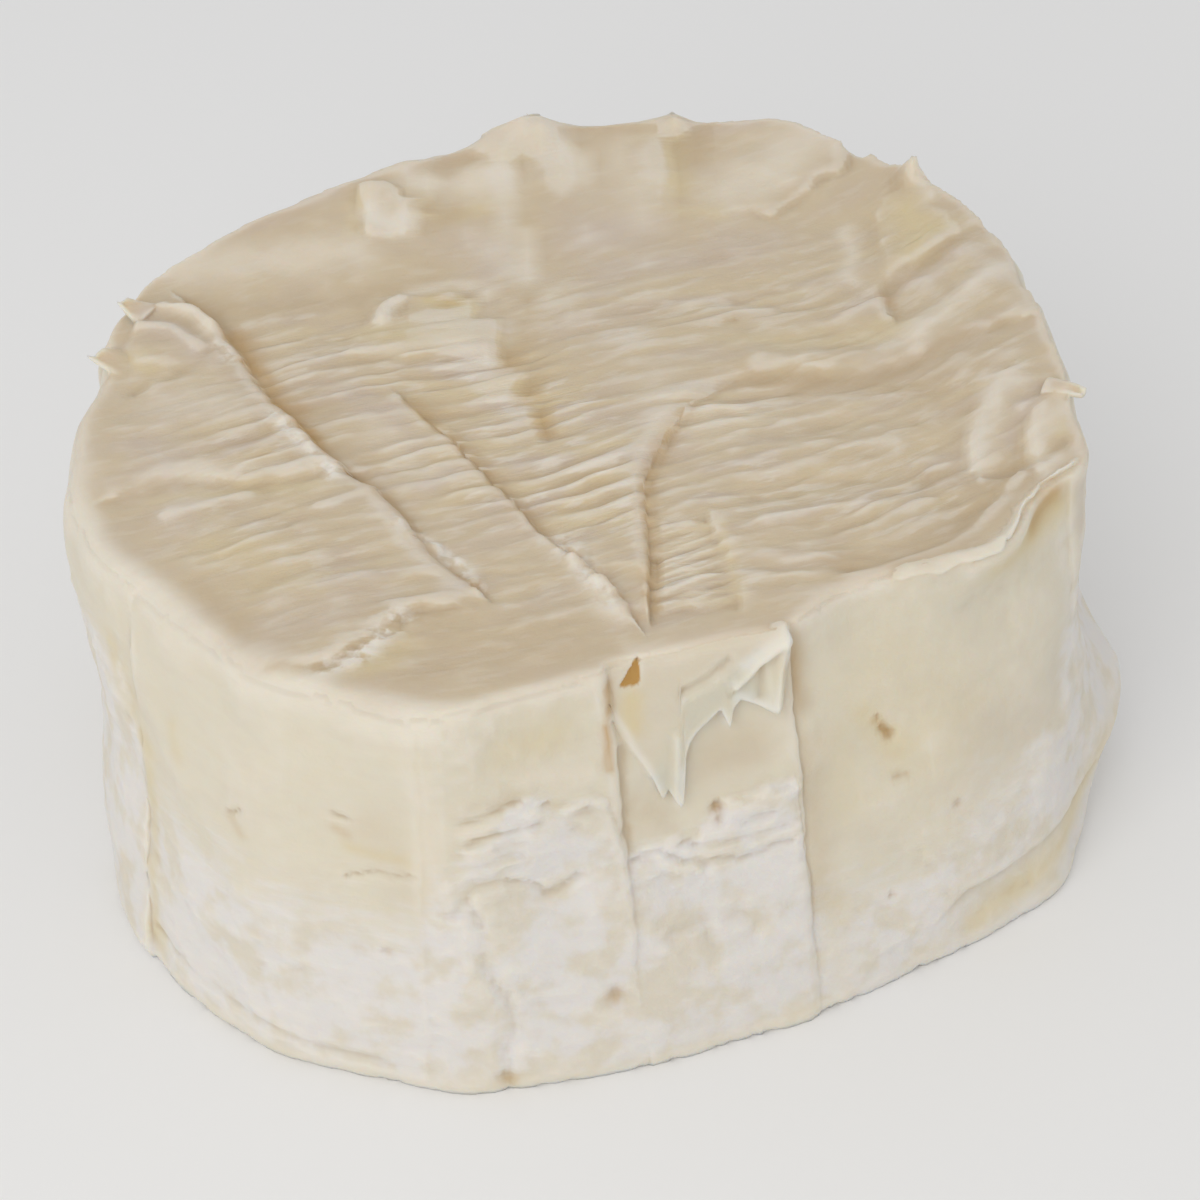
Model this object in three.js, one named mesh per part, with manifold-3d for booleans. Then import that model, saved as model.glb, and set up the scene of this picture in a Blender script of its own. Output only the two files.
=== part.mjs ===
// A small soft-ripened cheese wheel whose white rind has been pared off with a knife.
//
// One solid piece of cheese, about 90 mm across and 40 mm tall. The side is a ring of
// knife facets that meet in upright seams, with the torn rind left standing on the lower
// part. The top carries the chatter ridges of the blade, the lips where one stroke ran over
// the next, and tilted facets along the back. A torn skin of paste hangs over the front rim,
// a thin lip winds along the right rim, and a few tips stand out elsewhere.
//
// Millimetres, +Z up, origin at the middle of the flat base.

import * as THREE from 'three';
import { mergeVertices } from 'three/addons/utils/BufferGeometryUtils.js';
import Module from 'manifold-3d';

// ---------------------------------------------------------------- driving dimensions

const TOP_LEVEL = 39;             // height of the flat middle of the top
const BLANK_HEIGHT = 48;          // height of the uncut blank, above every peak
const CUTTER_HEIGHT = 60;         // upper face of the cutter that pares the top
const CUTTER_REACH = 54;          // half width of that cutter
const BASE_TUCK = 0.5;            // how far the bottom edge is rounded in
const BASE_TUCK_HEIGHT = 1.4;     // height of that rounding
const RIND_THICKNESS = 0.5;       // step from bare paste out to the rind left on it
const SIDE_UNEVENNESS = 0.35;     // slow waves of the side

// Where two side cuts meet: azimuth in degrees, radius at the rim, radius at the base.
const SIDE_CORNERS = [
  [-178, 44.2, 45.6],
  [-167, 45.3, 46.4],
  [-155, 45.4, 47.6],
  [-141, 43.9, 48.7],
  [-127, 45.3, 48.5],
  [-107, 45.0, 46.8],
  [-89, 37.2, 42.9],
  [-66, 36.4, 40.8],
  [-60, 35.2, 41.2],
  [-45, 38.2, 43.1],
  [-31, 40.8, 45.4],
  [-18, 43.8, 43.6],
  [0, 41.2, 44.6],
  [12, 41.0, 44.6],
  [27, 43.8, 44.2],
  [40, 44.3, 43.8],
  [64, 46.0, 45.0],
  [76, 43.2, 44.0],
  [102, 39.2, 42.6],
  [121, 39.4, 42.6],
  [140, 42.6, 43.6],
  [153, 46.1, 44.6],
  [163, 45.2, 45.0],
  [172, 42.8, 44.6],
];

// Upright seams between neighbouring side cuts: azimuth, how proud the cut before the
// seam stands at the rim and at the base, and how far the seam drifts in degrees between.
const SIDE_SEAMS = [
  { azimuth: -147.3, atRim: 0.05, atBase: 0.22, drift: 0 },
  { azimuth: -109.0, atRim: 0.03, atBase: 0.06, drift: -1 },
  { azimuth: -89.8, atRim: 0.9, atBase: 0.35, drift: 2.6 },
  { azimuth: -66.5, atRim: 0.55, atBase: 0.32, drift: 0.6 },
  { azimuth: -22.0, atRim: -0.5, atBase: 0.1, drift: 0 },
  { azimuth: 16.0, atRim: 0.5, atBase: 0.4, drift: 1 },
  { azimuth: 52.0, atRim: 0.6, atBase: 0.3, drift: -1 },
  { azimuth: 97.0, atRim: 0.5, atBase: 0.3, drift: 2 },
  { azimuth: 131.0, atRim: 0.4, atBase: 0.3, drift: 0 },
  { azimuth: 166.0, atRim: 0.4, atBase: 0.2, drift: -1 },
];
const SEAM_PROUD_REACH = 7;       // arc over which the proud lip fades, in degrees
const SEAM_HOLLOW = 0.4;          // depth of the hollow beside a seam, of its proud height
const SEAM_HOLLOW_REACH = 4;
const SEAM_LEAN_REACH = 8;        // columns this close to a seam lean with it

// Upper edge of the rind left on the side: azimuth, height.
const RIND_EDGE = [
  [-180, 29], [-150, 31], [-147, 13], [-134, 15], [-122, 17], [-110, 17], [-108, 22],
  [-101, 27.5], [-91, 28.5], [-88.5, 20.5], [-80, 20.5], [-76, 24], [-67, 25], [-66, 11],
  [-60, 10], [-45, 13], [-28, 17], [-21, 27], [-18, 33], [6, 33], [18, 27], [50, 24],
  [54, 17], [95, 21], [99, 29], [129, 26], [133, 18], [164, 21], [168, 28],
];

// Broad swellings and hollows of the side: azimuth, height, amount, spread, half height.
const SIDE_SWELLS = [
  { azimuth: -6, height: 6.8, amount: 4.1, spread: 12, half: 5.4 },
  { azimuth: -8, height: 24, amount: -2.4, spread: 14, half: 9 },
  { azimuth: -169, height: 32, amount: 0.8, spread: 22, half: 6 },
  { azimuth: -168, height: 19, amount: -1.2, spread: 20, half: 8 },
  { azimuth: -38, height: 38.5, amount: 1.5, spread: 7, half: 2.8 },
  { azimuth: -30, height: 33, amount: -0.8, spread: 14, half: 3 },
  { azimuth: -24.5, height: 37.2, amount: -2.0, spread: 4.5, half: 3 },
  { azimuth: -128, height: 24, amount: 0.8, spread: 14, half: 12 },
  { azimuth: -75, height: 33, amount: -0.7, spread: 8, half: 5 },
  { azimuth: -97, height: 18, amount: -0.5, spread: 5, half: 6 },
];

// Heights of the rings of the side: shares of the rind edge, then shares of the rest.
const RINGS_BELOW_RIND = [0.12, 0.3, 0.5, 0.7, 0.88];
const RINGS_ABOVE_RIND = [0.2, 0.4, 0.6, 0.78, 0.92, 1.0];
const RIND_STEP_HEIGHT = 0.7;
const SIDE_COLUMN_ANGLE = 4.0;    // widest gap between two columns of the side, degrees
const SEAM_COLUMN_ANGLE = 0.35;   // columns this far either side of a seam, degrees

const TOP_TILT = 0.012;           // the top climbs this much per millimetre to the back
const TOP_UNEVENNESS = 0.3;       // slow waves of the top
const RIGHT_RISE = 1;             // how much higher the rim is at the right

// Chatter ridges of the blade across the top.
const RIDGE_SPACING = [1.7, 2.6]; // smallest and largest distance between ridges
const RIDGE_HEIGHT = 0.27;        // half the height of a ridge
const RIDGE_PROFILE = [[0, -1], [0.42, 0.25], [0.8, 1]]; // share of spacing, share of height
const RIDGE_COLUMN = 4.2;         // longest straight piece of a ridge
const STEP_GAP = 0.25;            // half the gap between the two columns beside a step
const RIDGE_WAVE = 0.35;          // sideways waves of a ridge
const RIDGE_RANGE = [-66, 62];    // first and last ridge, measured across them
const RIDGE_FRONT_FADE = [-4, 1]; // mm past the crease over which the ridges end
const RIDGE_RIM_FADE = 5;         // mm inside the rim over which they grow
const RIDGE_MEAN = 0.85;          // mean strength, and how much it swells
const RIDGE_SWELL = 0.3;
const CLIMB = { slope: 0.25, curve: 0.0062, from: 4, wave: 0.55, pace: 0.21 };
const STROKE_WIDTHS = [30, 17, 9, 48]; // widths of the four strokes over the top
// Each stroke left its own chatter, so the ridges shift across the line between two.
const STROKE_SHIFTS = [-0.9, 0.8, -0.7];
const SHIFT_FADE = 5;             // the shift dies out this far before the line's ends
const FAINT_RIDGES = 0.15;        // strength of the ridges outside the places below

// Where the ridges are strong: strength, half width, run of x and y.
const RIDGED_PLACES = [
  { strength: 1.0, half: 6.5, run: [[-9, 1], [-2, -8], [0, -16]] },
  { strength: 0.7, half: 5.2, run: [[-14, -7], [-9, -15]] },
  { strength: 0.8, half: 3.9, run: [[7, -6], [12, -5]] },
  { strength: 0.9, half: 3.9, run: [[7, -23], [7.5, -27]] },
  { strength: 0.7, half: 6.5, run: [[-28, -6], [-24, 4], [-20, 1]] },
  { strength: 0.5, half: 5.2, run: [[-26, 12], [-16, 3]] },
  { strength: 0.55, half: 7.8, run: [[12, -14], [28, -16]] },
  { strength: 0.45, half: 6.5, run: [[-30, -16], [-20, -22]] },
  { strength: 0.35, half: 7.8, run: [[2, 12], [22, 8]] },
];

// Lines where one stroke over the top ended on the next, run from front to back, so that
// the raised side is on the left of the run. rise and drop are heights at the line.
const TOP_LINES = {
  leftStrip: {
    run: [[-9.8, -27.4], [-13.5, -22.3], [-16, -16.6], [-18.5, -12.5], [-22, -8.1],
      [-24.7, -3.4], [-28.0, 2.1], [-29.9, 7.4], [-32.3, 12.4], [-35.6, 17.2]],
    rise: 0.7, riseReach: 8, drop: 0.5, dropReach: 3,
  },
  middleStrip: {
    run: [[2.5, -31.3], [0.9, -27.6], [-1.4, -24.1], [-4.2, -20.4], [-6.5, -16],
      [-9.4, -10.7], [-12.8, -4.5], [-15.8, 0.4]],
    rise: 0.5, riseReach: 6, drop: 0.4, dropReach: 3,
  },
  longStep: {
    run: [[3.9, -29.9], [4.1, -21.9], [4.2, -13.4], [5.7, -8.5], [8.5, -2.7], [13, 1.1],
      [18.3, 1.2], [23.4, 1.0], [28.4, 2.8], [33.2, 5.4], [37.6, 6.5]],
    rise: 0.5, riseReach: 6, drop: 0.4, dropReach: 4,
  },
  shortSlit: {
    run: [[-4.1, -5.6], [-5.3, 0.3], [-7.0, 5.6], [-8.4, 11.5], [-10.6, 16.3]],
    rise: 0.3, riseReach: 3, drop: 0.6, dropReach: 1.2,
  },
  finePatch: {
    run: [[9.3, -19.6], [10.2, -24.5], [10.7, -29.5]],
    rise: 0.25, riseReach: 4, drop: 0.3, dropReach: 4,
  },
  shoulderGroove: {
    run: [[-26.6, -35.2], [-24.4, -35.6], [-22.1, -35.6], [-19.9, -34.5], [-18.0, -33.0],
      [-16.1, -30.7], [-14.8, -29.8], [-12.6, -29.8]],
    rise: 0.5, riseReach: 4, drop: 0.9, dropReach: 2.2,
  },
  rightGroove: {
    run: [[34.2, -15.0], [31.5, -19.8], [29.1, -23.0], [26.5, -24.8], [21.0, -27.0]],
    rise: 0.4, riseReach: 2, drop: 0.6, dropReach: 4,
  },
  leftFold: {
    run: [[-39.3, -11.6], [-36.4, -10.4], [-33.4, -10.0], [-29.2, -10.8], [-24.6, -10.6],
      [-20.6, -9.9]],
    rise: 0.4, riseReach: 5, drop: 0.4, dropReach: 3,
  },
  rightFold: {
    run: [[13.6, 9.7], [17.0, 7.8], [21.3, 8.0], [25.0, 9.8], [29.6, 11.8], [34.6, 16.2],
      [37, 18.4]],
    rise: 0.2, riseReach: 4, drop: 0.3, dropReach: 4,
  },
  backStep: {
    run: [[26.8, 9.8], [26.6, 14.3], [30.2, 17.2], [33.8, 20.3], [37, 22.6]],
    rise: 0.3, riseReach: 4, drop: 0.5, dropReach: 3,
  },
  firstCurl: {
    run: [[35.3, -1.5], [33.4, -4.0], [31.7, -7.9], [31.1, -11.3], [31.2, -13.7]],
    rise: 1.1, riseReach: 3.2, drop: 0.3, dropReach: 1.5,
  },
  secondCurl: {
    run: [[41.5, -2.6], [39.0, -4.9], [37.1, -7.0], [36.1, -10.7], [36.1, -13.9]],
    rise: 0.9, riseReach: 2.4, drop: 0.5, dropReach: 2.2,
  },
};
const LINE_FADE = 3;              // a line dies out over this length past its ends

// Soft folds of the top: height, half width, run of x and y.
const TOP_FOLDS = [
  { height: 0.5, half: 1.5, run: [[14.9, 3.1], [24.4, 3.3], [27.6, 4.1], [31, 8], [37, 14]] },
  { height: -0.25, half: 1.1, run: [[13.8, 13.2], [20.5, 11.7], [25.2, 14.6]] },
  { height: -0.3, half: 1.0, run: [[14, -7.4], [20, -6.2], [27, -6.6]] },
  { height: 0.35, half: 1.2, run: [[12, -10.2], [18, -9.6], [25, -9.8]] },
  { height: -0.35, half: 1.1, run: [[13, -16.2], [19.5, -14.6], [27, -14.2]] },
  { height: 0.3, half: 1.2, run: [[14, -20], [20, -18.6], [27, -18.4]] },
  { height: 0.5, half: 1.0, run: [[-35.2, -14.9], [-32.1, -13.6], [-28.6, -12.8]] },
  { height: 0.8, half: 1.1, run: [[-37.6, 15.6], [-34.6, 14.2], [-32.9, 12.2]] },
  { height: 0.9, half: 1.2, run: [[-0.6, 40], [0.4, 35], [0.9, 31]] },
  { height: 1.3, half: 1.3, run: [[8.6, 43], [9.2, 39.5]] },
];

// Thin scraps lying on the top: lift, extra height per millimetre of x and of y away from
// their middle, and their corners counterclockwise.
const SCRAPS = [
  { lift: 0.45, perX: 0.06, perY: 0,
    corners: [[9.8, 30], [12.6, 27.4], [17.7, 26.8], [25.4, 33.2], [25, 43], [9, 44]] },
  { lift: 0.6, perX: -0.04, perY: 0.03,
    corners: [[-14.0, 25.0], [-16.5, 31.6], [-19.6, 32.6], [-18.9, 24.2], [-15.9, 22.6]] },
  { lift: 0.35, perX: 0.03, perY: -0.03,
    corners: [[-21, 7.6], [-7.2, 5.4], [-8.4, 11.7], [-11.2, 16.8], [-19, 15.5]] },
  { lift: 0.35, perX: 0, perY: 0.03,
    corners: [[-40.5, 7.4], [-34.6, 6.6], [-31.6, 11.4], [-33.6, 15.2], [-40, 16]] },
  { lift: 0.9, perX: -0.1, perY: 0.08,
    corners: [[-9.6, 34.5], [-5.6, 33.8], [-5.4, 43], [-9.8, 43]] },
];
const SCRAP_EDGE = 0.35;          // half width of the step at the edge of a scrap

// The back of the top rises toward the rim from a crease, x and y, as flat facets: x where
// each starts, its slope, and how much steeper it gets per millimetre of x.
const BACK_CREASE = [[-48, 17], [-20, 18], [-6, 20], [6, 24], [14, 26], [26, 25], [36, 22]];
const BACK_FACETS = [
  [-60, 0.25, 0], [-19.5, 0.265, 0], [-13.5, 0.21, 0.008], [-5.6, 0.23, 0],
  [8.3, 0.185, 0], [24.5, 0.18, 0], [36, 0.1, 0],
];
const FACET_EDGE = 0.45;          // half width of the step between two facets
const BACK_CREASE_ROUNDING = 1.5;

// The rim rolls over: azimuth, how far it rolls inward, height of the roll.
const RIM_ROLL = [
  [-180, 1.0, 2.4], [-168, 1.5, 2.8], [-152, 2.0, 3.2], [-118, 2.2, 3.4], [-106, 1.8, 3],
  [-94, 1.2, 2], [-60, 0.6, 1.2], [-20, 0.5, 1], [20, 1.2, 2], [52, 1.0, 3],
  [64, 1.1, 11], [110, 1.4, 12], [150, 1.4, 11], [166, 1.4, 4], [172, 1.4, 2.4],
];

// Tips of paste that stand out from the rim: middle of the root, facing azimuth, start angle
// above level, curl along the length, width, length, slant of the free edge, taper toward it.
const FLAKES = [
  { name: 'left tip', root: [-41.0, 8.4, 39.3], facing: 165, pitch: 14, curl: 10,
    width: 5.0, length: 1.9, slant: 0.3, taper: 0.6, thick: 1.5 },
  { name: 'left back tip', root: [-39.9, 15.0, 40.4], facing: 150, pitch: 10, curl: 10,
    width: 3.5, length: 1.4, slant: 0.2, taper: 0.7, thick: 1.5 },
  { name: 'right tip', root: [40.6, -5.6, 40.3], facing: 5, pitch: 6, curl: -10,
    width: 4.2, length: 1.2, slant: 0.2, taper: 0.8, thick: 1.8 },
  { name: 'back tent', root: [-4.4, 37.6, 43.4], facing: 98, pitch: 52, curl: 4,
    width: 4.8, length: 3.0, slant: 0, taper: 0.8, thick: 2.0 },
  { name: 'right back tip', root: [30.4, 29.0, 40.6], facing: 44, pitch: 56, curl: 4,
    width: 4.4, length: 2.4, slant: 0.1, taper: 0.75, thick: 1.8 },
];
const FLAKE_COLUMNS = 5;
const FLAKE_ROWS = 4;
const FLAKE_EDGE_THICKNESS = 0.4; // of the root thickness
const FLAKE_RAGGEDNESS = 0.16;    // of the length
const FLAKE_BURIED = 1.6;         // length of the root sunk in the body

// Sheets of paste draped over the rim: how far the torn edge stands off the side, then
// azimuth and height of that edge.
const DRAPES = [
  { name: 'front skin', standOff: 1.0,
    tornEdge: [[-89.5, 34.6], [-87.8, 31.2], [-84.6, 26.4], [-83.6, 25.2], [-83.0, 26.2],
      [-81.5, 24.4], [-80.7, 29.0], [-78.6, 31.2], [-75.7, 32.0], [-74.9, 30.4], [-74.0, 32.8],
      [-71.6, 32.3], [-69.0, 31.1], [-67.7, 34.2], [-66.8, 36.6]] },
  { name: 'rim lip', standOff: 0.9,
    tornEdge: [[-56, 38.8], [-53, 38.5], [-50, 38.8], [-47, 38.3], [-44, 38.7], [-41, 38.4],
      [-38, 38.9], [-35, 38.3], [-32, 38.6], [-29, 38.2], [-26, 38.7], [-23, 38.4],
      [-19.5, 38.7]] },
];
const DRAPE_ROWS = 5;
const DRAPE_REACH = 1.8;          // how far inside the rim the buried root lies
const DRAPE_ROUND = 0.7;          // how softly a sheet turns over the rim
const DRAPE_SUNK = 0.9;           // how deep its root and its two ends are sunk
const DRAPE_INNER = 1.6;          // depth of its inner face, all in the body
const DRAPE_END = 3;              // degrees over which an end sinks in
const DRAPE_LIFT = 0.2;           // how far its outer face stands off at the rim
const DRAPE_DIP = 0.1;            // how much it dips where it turns over the rim
const RIM_READ = { below: 0.6, inside: 1.5 }; // where the height of the rim is read

// Small torn crumbs on the top and pits in the side: centre, radius.
const CRUMBS = [
  [-11.8, -24.6, 39.1, 0.9], [0.6, -28.6, 39.2, 0.9], [-20.4, -36.0, 38.6, 1.0],
  [-16.6, -33.0, 38.8, 0.9],
];
const PITS = [
  [2.2, -37.4, 37.2, 1.3], [8.8, -38.9, 23.2, 0.9], [23.2, -31.6, 24.8, 1.1],
  [-0.4, -43.9, 8.2, 1.0],
];

const MERGE_DISTANCE = 1e-3;      // corners closer than this are one corner
const PASTE_COLOUR = 0xd6c9ad;

// ---------------------------------------------------------------- small helpers

const DEGREE = Math.PI / 180;

const clamp01 = (value) => Math.min(1, Math.max(0, value));

const smoothStep = (from, to, value) => {
  const share = clamp01((value - from) / (to - from));
  return share * share * (3 - 2 * share);
};

const bell = (offset, spread) => Math.exp(-((offset / spread) ** 2));

/** The turn from one azimuth to another, between -180 and 180 degrees. */
const turn = (from, to) => ((((to - from + 180) % 360) + 360) % 360) - 180;

/** A repeatable random source, one per use, so that no draw disturbs another. */
function randomSource(seed) {
  let state = seed;
  return () => {
    state = (state * 1664525 + 1013904223) % 4294967296;
    return state / 4294967296;
  };
}

/** A slow, uneven swell between about -1 and 1. */
const swell = (a, b) => 0.5 * Math.sin(0.19 * a + 0.11 * b + 0.7)
  + 0.3 * Math.sin(0.37 * b - 0.23 * a + 2.1)
  + 0.2 * Math.sin(0.61 * a + 0.47 * b + 4.0);

/** Reads a table of rows [azimuth, values...] around the full circle. */
function readAround(table, azimuth, column) {
  const count = table.length;
  for (let i = 0; i < count; i += 1) {
    const here = table[i];
    const next = table[(i + 1) % count];
    const span = (next[0] - here[0] + 360) % 360;
    const along = (azimuth - here[0] + 720) % 360;
    if (along <= span) {
      return here[column] + (next[column] - here[column]) * (along / span);
    }
  }
  return table[0][column];
}

/** Reads a table of rows [x, values...] along a line, level past its ends. */
function readAlong(table, x, column) {
  if (x <= table[0][0]) return table[0][column];
  for (let i = 1; i < table.length; i += 1) {
    if (x <= table[i][0]) {
      const share = (x - table[i - 1][0]) / (table[i][0] - table[i - 1][0]);
      return table[i - 1][column] + (table[i][column] - table[i - 1][column]) * share;
    }
  }
  return table[table.length - 1][column];
}

// ---------------------------------------------------------------- the side

/** Radius of the flat cut between two corners, on the straight line that joins them. */
function cutRadius(azimuth, column) {
  const count = SIDE_CORNERS.length;
  for (let i = 0; i < count; i += 1) {
    const here = SIDE_CORNERS[i];
    const next = SIDE_CORNERS[(i + 1) % count];
    const span = (next[0] - here[0] + 360) % 360;
    const along = (azimuth - here[0] + 720) % 360;
    if (along <= span) {
      const fromHere = here[column] * Math.sin(along * DEGREE);
      const toNext = next[column] * Math.sin((span - along) * DEGREE);
      return (here[column] * next[column] * Math.sin(span * DEGREE)) / (fromHere + toNext);
    }
  }
  return SIDE_CORNERS[0][column];
}

/** The same radius with the corners eased. */
function easedRadius(azimuth, column) {
  const offsets = [-3, -1.5, 0, 1.5, 3];
  const sum = offsets.reduce((total, offset) => total + cutRadius(azimuth + offset, column), 0);
  return sum / offsets.length;
}

const seamAzimuth = (seam, z) => seam.azimuth + seam.drift * (1 - z / TOP_LEVEL);

/** How far the rolled rim has drawn the side in at a height. */
function rollIn(azimuth, z) {
  const height = readAround(RIM_ROLL, azimuth, 2);
  const share = clamp01((z - TOP_LEVEL + height) / height);
  return readAround(RIM_ROLL, azimuth, 1) * (1 - Math.sqrt(1 - 0.98 * share * share));
}

/** Radius of the side at an azimuth and height. onRind says which side of the edge it is. */
function sideRadius(azimuth, z, onRind) {
  const share = clamp01(z / TOP_LEVEL);
  let radius = THREE.MathUtils.lerp(easedRadius(azimuth, 2), easedRadius(azimuth, 1), share);
  for (const area of SIDE_SWELLS) {
    const around = bell(turn(area.azimuth, azimuth), area.spread);
    radius += area.amount * around * bell(z - area.height, area.half);
  }
  for (const seam of SIDE_SEAMS) {
    const past = turn(seamAzimuth(seam, z), azimuth);
    const proud = THREE.MathUtils.lerp(seam.atBase, seam.atRim, share);
    if (past < 0) {
      radius += proud * Math.exp(past / SEAM_PROUD_REACH);
    } else {
      radius -= proud * SEAM_HOLLOW * Math.exp(-past / SEAM_HOLLOW_REACH);
    }
  }
  radius += SIDE_UNEVENNESS * swell(azimuth * 0.8, z * 1.3) - rollIn(azimuth, z);
  if (onRind) radius += RIND_THICKNESS;
  const tuck = clamp01(1 - z / BASE_TUCK_HEIGHT);
  return radius - BASE_TUCK * tuck * tuck;
}

/** Azimuths of the columns of the side, with a close pair at every seam. */
function sideColumns() {
  const stops = SIDE_SEAMS.map((seam) => seam.azimuth);
  const columns = [];
  stops.forEach((stop, i) => {
    const next = i + 1 < stops.length ? stops[i + 1] : stops[0] + 360;
    const from = stop + SEAM_COLUMN_ANGLE;
    const to = next - SEAM_COLUMN_ANGLE;
    const pieces = Math.ceil((to - from) / SIDE_COLUMN_ANGLE);
    for (let k = 0; k <= pieces; k += 1) columns.push(from + ((to - from) * k) / pieces);
  });
  return columns;
}

/** A column leans with the seams close to it. */
function leaningAzimuth(azimuth, z) {
  const lean = SIDE_SEAMS.reduce(
    (sum, seam) => sum + seam.drift * bell(turn(seam.azimuth, azimuth), SEAM_LEAN_REACH), 0);
  return azimuth + lean * (1 - z / TOP_LEVEL);
}

/** Rings of one column, from the base up: height and whether the rind is there. */
function ringsOfColumn(azimuth) {
  const edge = readAround(RIND_EDGE, azimuth, 1) + 0.8 * Math.sin(azimuth * 0.37);
  const rings = [{ z: 0, onRind: true }, { z: 0.7, onRind: true }];
  for (const share of RINGS_BELOW_RIND) rings.push({ z: edge * share, onRind: true });
  rings.push({ z: edge - RIND_STEP_HEIGHT / 2, onRind: true });
  rings.push({ z: edge + RIND_STEP_HEIGHT / 2, onRind: false });
  for (const share of RINGS_ABOVE_RIND) {
    rings.push({ z: edge + (TOP_LEVEL - edge) * share, onRind: false });
  }
  rings.push({ z: BLANK_HEIGHT, onRind: false });
  return rings;
}

/** The blank: the pared side, a flat base and a flat lid above the finished top. */
function makeBlank() {
  const columns = sideColumns();
  const positions = [];
  const index = [];
  let ringCount = 0;
  for (const azimuth of columns) {
    const rings = ringsOfColumn(azimuth);
    ringCount = rings.length;
    for (const { z, onRind } of rings) {
      const leaning = leaningAzimuth(azimuth, Math.min(z, TOP_LEVEL));
      const radius = sideRadius(leaning, z, onRind);
      positions.push(radius * Math.cos(leaning * DEGREE), radius * Math.sin(leaning * DEGREE), z);
    }
  }
  const count = columns.length;
  const at = (column, ring) => (column % count) * ringCount + ring;
  for (let c = 0; c < count; c += 1) {
    for (let r = 0; r + 1 < ringCount; r += 1) {
      index.push(at(c, r), at(c + 1, r), at(c + 1, r + 1));
      index.push(at(c, r), at(c + 1, r + 1), at(c, r + 1));
    }
  }
  const baseMiddle = positions.length / 3;
  positions.push(0, 0, 0, 0, 0, BLANK_HEIGHT);
  for (let c = 0; c < count; c += 1) {
    index.push(baseMiddle, at(c + 1, 0), at(c, 0));
    index.push(baseMiddle + 1, at(c, ringCount - 1), at(c + 1, ringCount - 1));
  }
  return toGeometry(positions, index);
}

// ---------------------------------------------------------------- the top

/** Smooth versions of the lines of the top, as short straight pieces. */
const smoothLines = Object.values(TOP_LINES).map((line) => {
  const spline = new THREE.SplineCurve(line.run.map(([x, y]) => new THREE.Vector2(x, y)));
  return { ...line, pieces: spline.getPoints(line.run.length * 3) };
});

/** Height that one line adds: a lip on its left that fades, a hollow on its right. */
function lineHeight(line, x, y) {
  const lastPiece = line.pieces.length - 2;
  let nearest = Infinity;
  let leftSide = true;
  let overrun = 0;
  for (let i = 0; i <= lastPiece; i += 1) {
    const a = line.pieces[i];
    const b = line.pieces[i + 1];
    const alongX = b.x - a.x;
    const alongY = b.y - a.y;
    const length = Math.hypot(alongX, alongY);
    const along = ((x - a.x) * alongX + (y - a.y) * alongY) / (length * length);
    const share = clamp01(along);
    const distance = Math.hypot(x - a.x - share * alongX, y - a.y - share * alongY);
    if (distance < nearest) {
      nearest = distance;
      leftSide = alongX * (y - a.y) - alongY * (x - a.x) > 0;
      const pastEnd = (i === 0 && along < 0) || (i === lastPiece && along > 1);
      overrun = pastEnd ? Math.abs(along - share) * length : 0;
    }
  }
  const fade = 1 - smoothStep(0, LINE_FADE, overrun);
  if (leftSide) return fade * line.rise * Math.exp(-nearest / line.riseReach);
  return -fade * line.drop * Math.exp(-nearest / line.dropReach);
}

/** Distance from a point to a run of straight pieces. */
function runDistance(run, x, y) {
  let nearest = Infinity;
  for (let i = 0; i + 1 < run.length; i += 1) {
    const [ax, ay] = run[i];
    const alongX = run[i + 1][0] - ax;
    const alongY = run[i + 1][1] - ay;
    const share = clamp01(
      ((x - ax) * alongX + (y - ay) * alongY) / (alongX * alongX + alongY * alongY));
    nearest = Math.min(nearest, Math.hypot(x - ax - share * alongX, y - ay - share * alongY));
  }
  return nearest;
}

/** Distance to the nearest side of a scrap, positive inside it. */
function insideScrap(corners, x, y) {
  return corners.reduce((depth, [ax, ay], i) => {
    const [bx, by] = corners[(i + 1) % corners.length];
    const reach = ((bx - ax) * (y - ay) - (by - ay) * (x - ax)) / Math.hypot(bx - ax, by - ay);
    return Math.min(depth, reach);
  }, Infinity);
}

/** Height of one scrap over the top below it. */
function scrapHeight({ lift, perX, perY, corners }, x, y) {
  const middleX = corners.reduce((sum, corner) => sum + corner[0], 0) / corners.length;
  const middleY = corners.reduce((sum, corner) => sum + corner[1], 0) / corners.length;
  const inside = smoothStep(-SCRAP_EDGE, SCRAP_EDGE, insideScrap(corners, x, y));
  return inside * (lift + perX * (x - middleX) + perY * (y - middleY));
}

/** Slope of the back facets at one x, blended over the steps between them. */
function backSlope(x) {
  return BACK_FACETS.reduce((slope, [start, climb, sideways], i) => {
    const end = i + 1 < BACK_FACETS.length ? BACK_FACETS[i + 1][0] : -BACK_FACETS[0][0];
    const inside = smoothStep(start - FACET_EDGE, start + FACET_EDGE, x)
      - smoothStep(end - FACET_EDGE, end + FACET_EDGE, x);
    return slope + inside * (climb + sideways * (x - 0.5 * (start + end)));
  }, 0);
}

/** Distance past the back crease, eased at the crease itself, times the slope there. */
function backRise(x, y) {
  const past = y - readAlong(BACK_CREASE, x, 1);
  return 0.5 * (past + Math.hypot(past, BACK_CREASE_ROUNDING)) * backSlope(x);
}

/** Distance from a point of the top out to where the rim starts to roll over. */
function insideRim(x, y) {
  const azimuth = Math.atan2(y, x) / DEGREE;
  return easedRadius(azimuth, 1) - readAround(RIM_ROLL, azimuth, 1) - Math.hypot(x, y);
}

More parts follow.
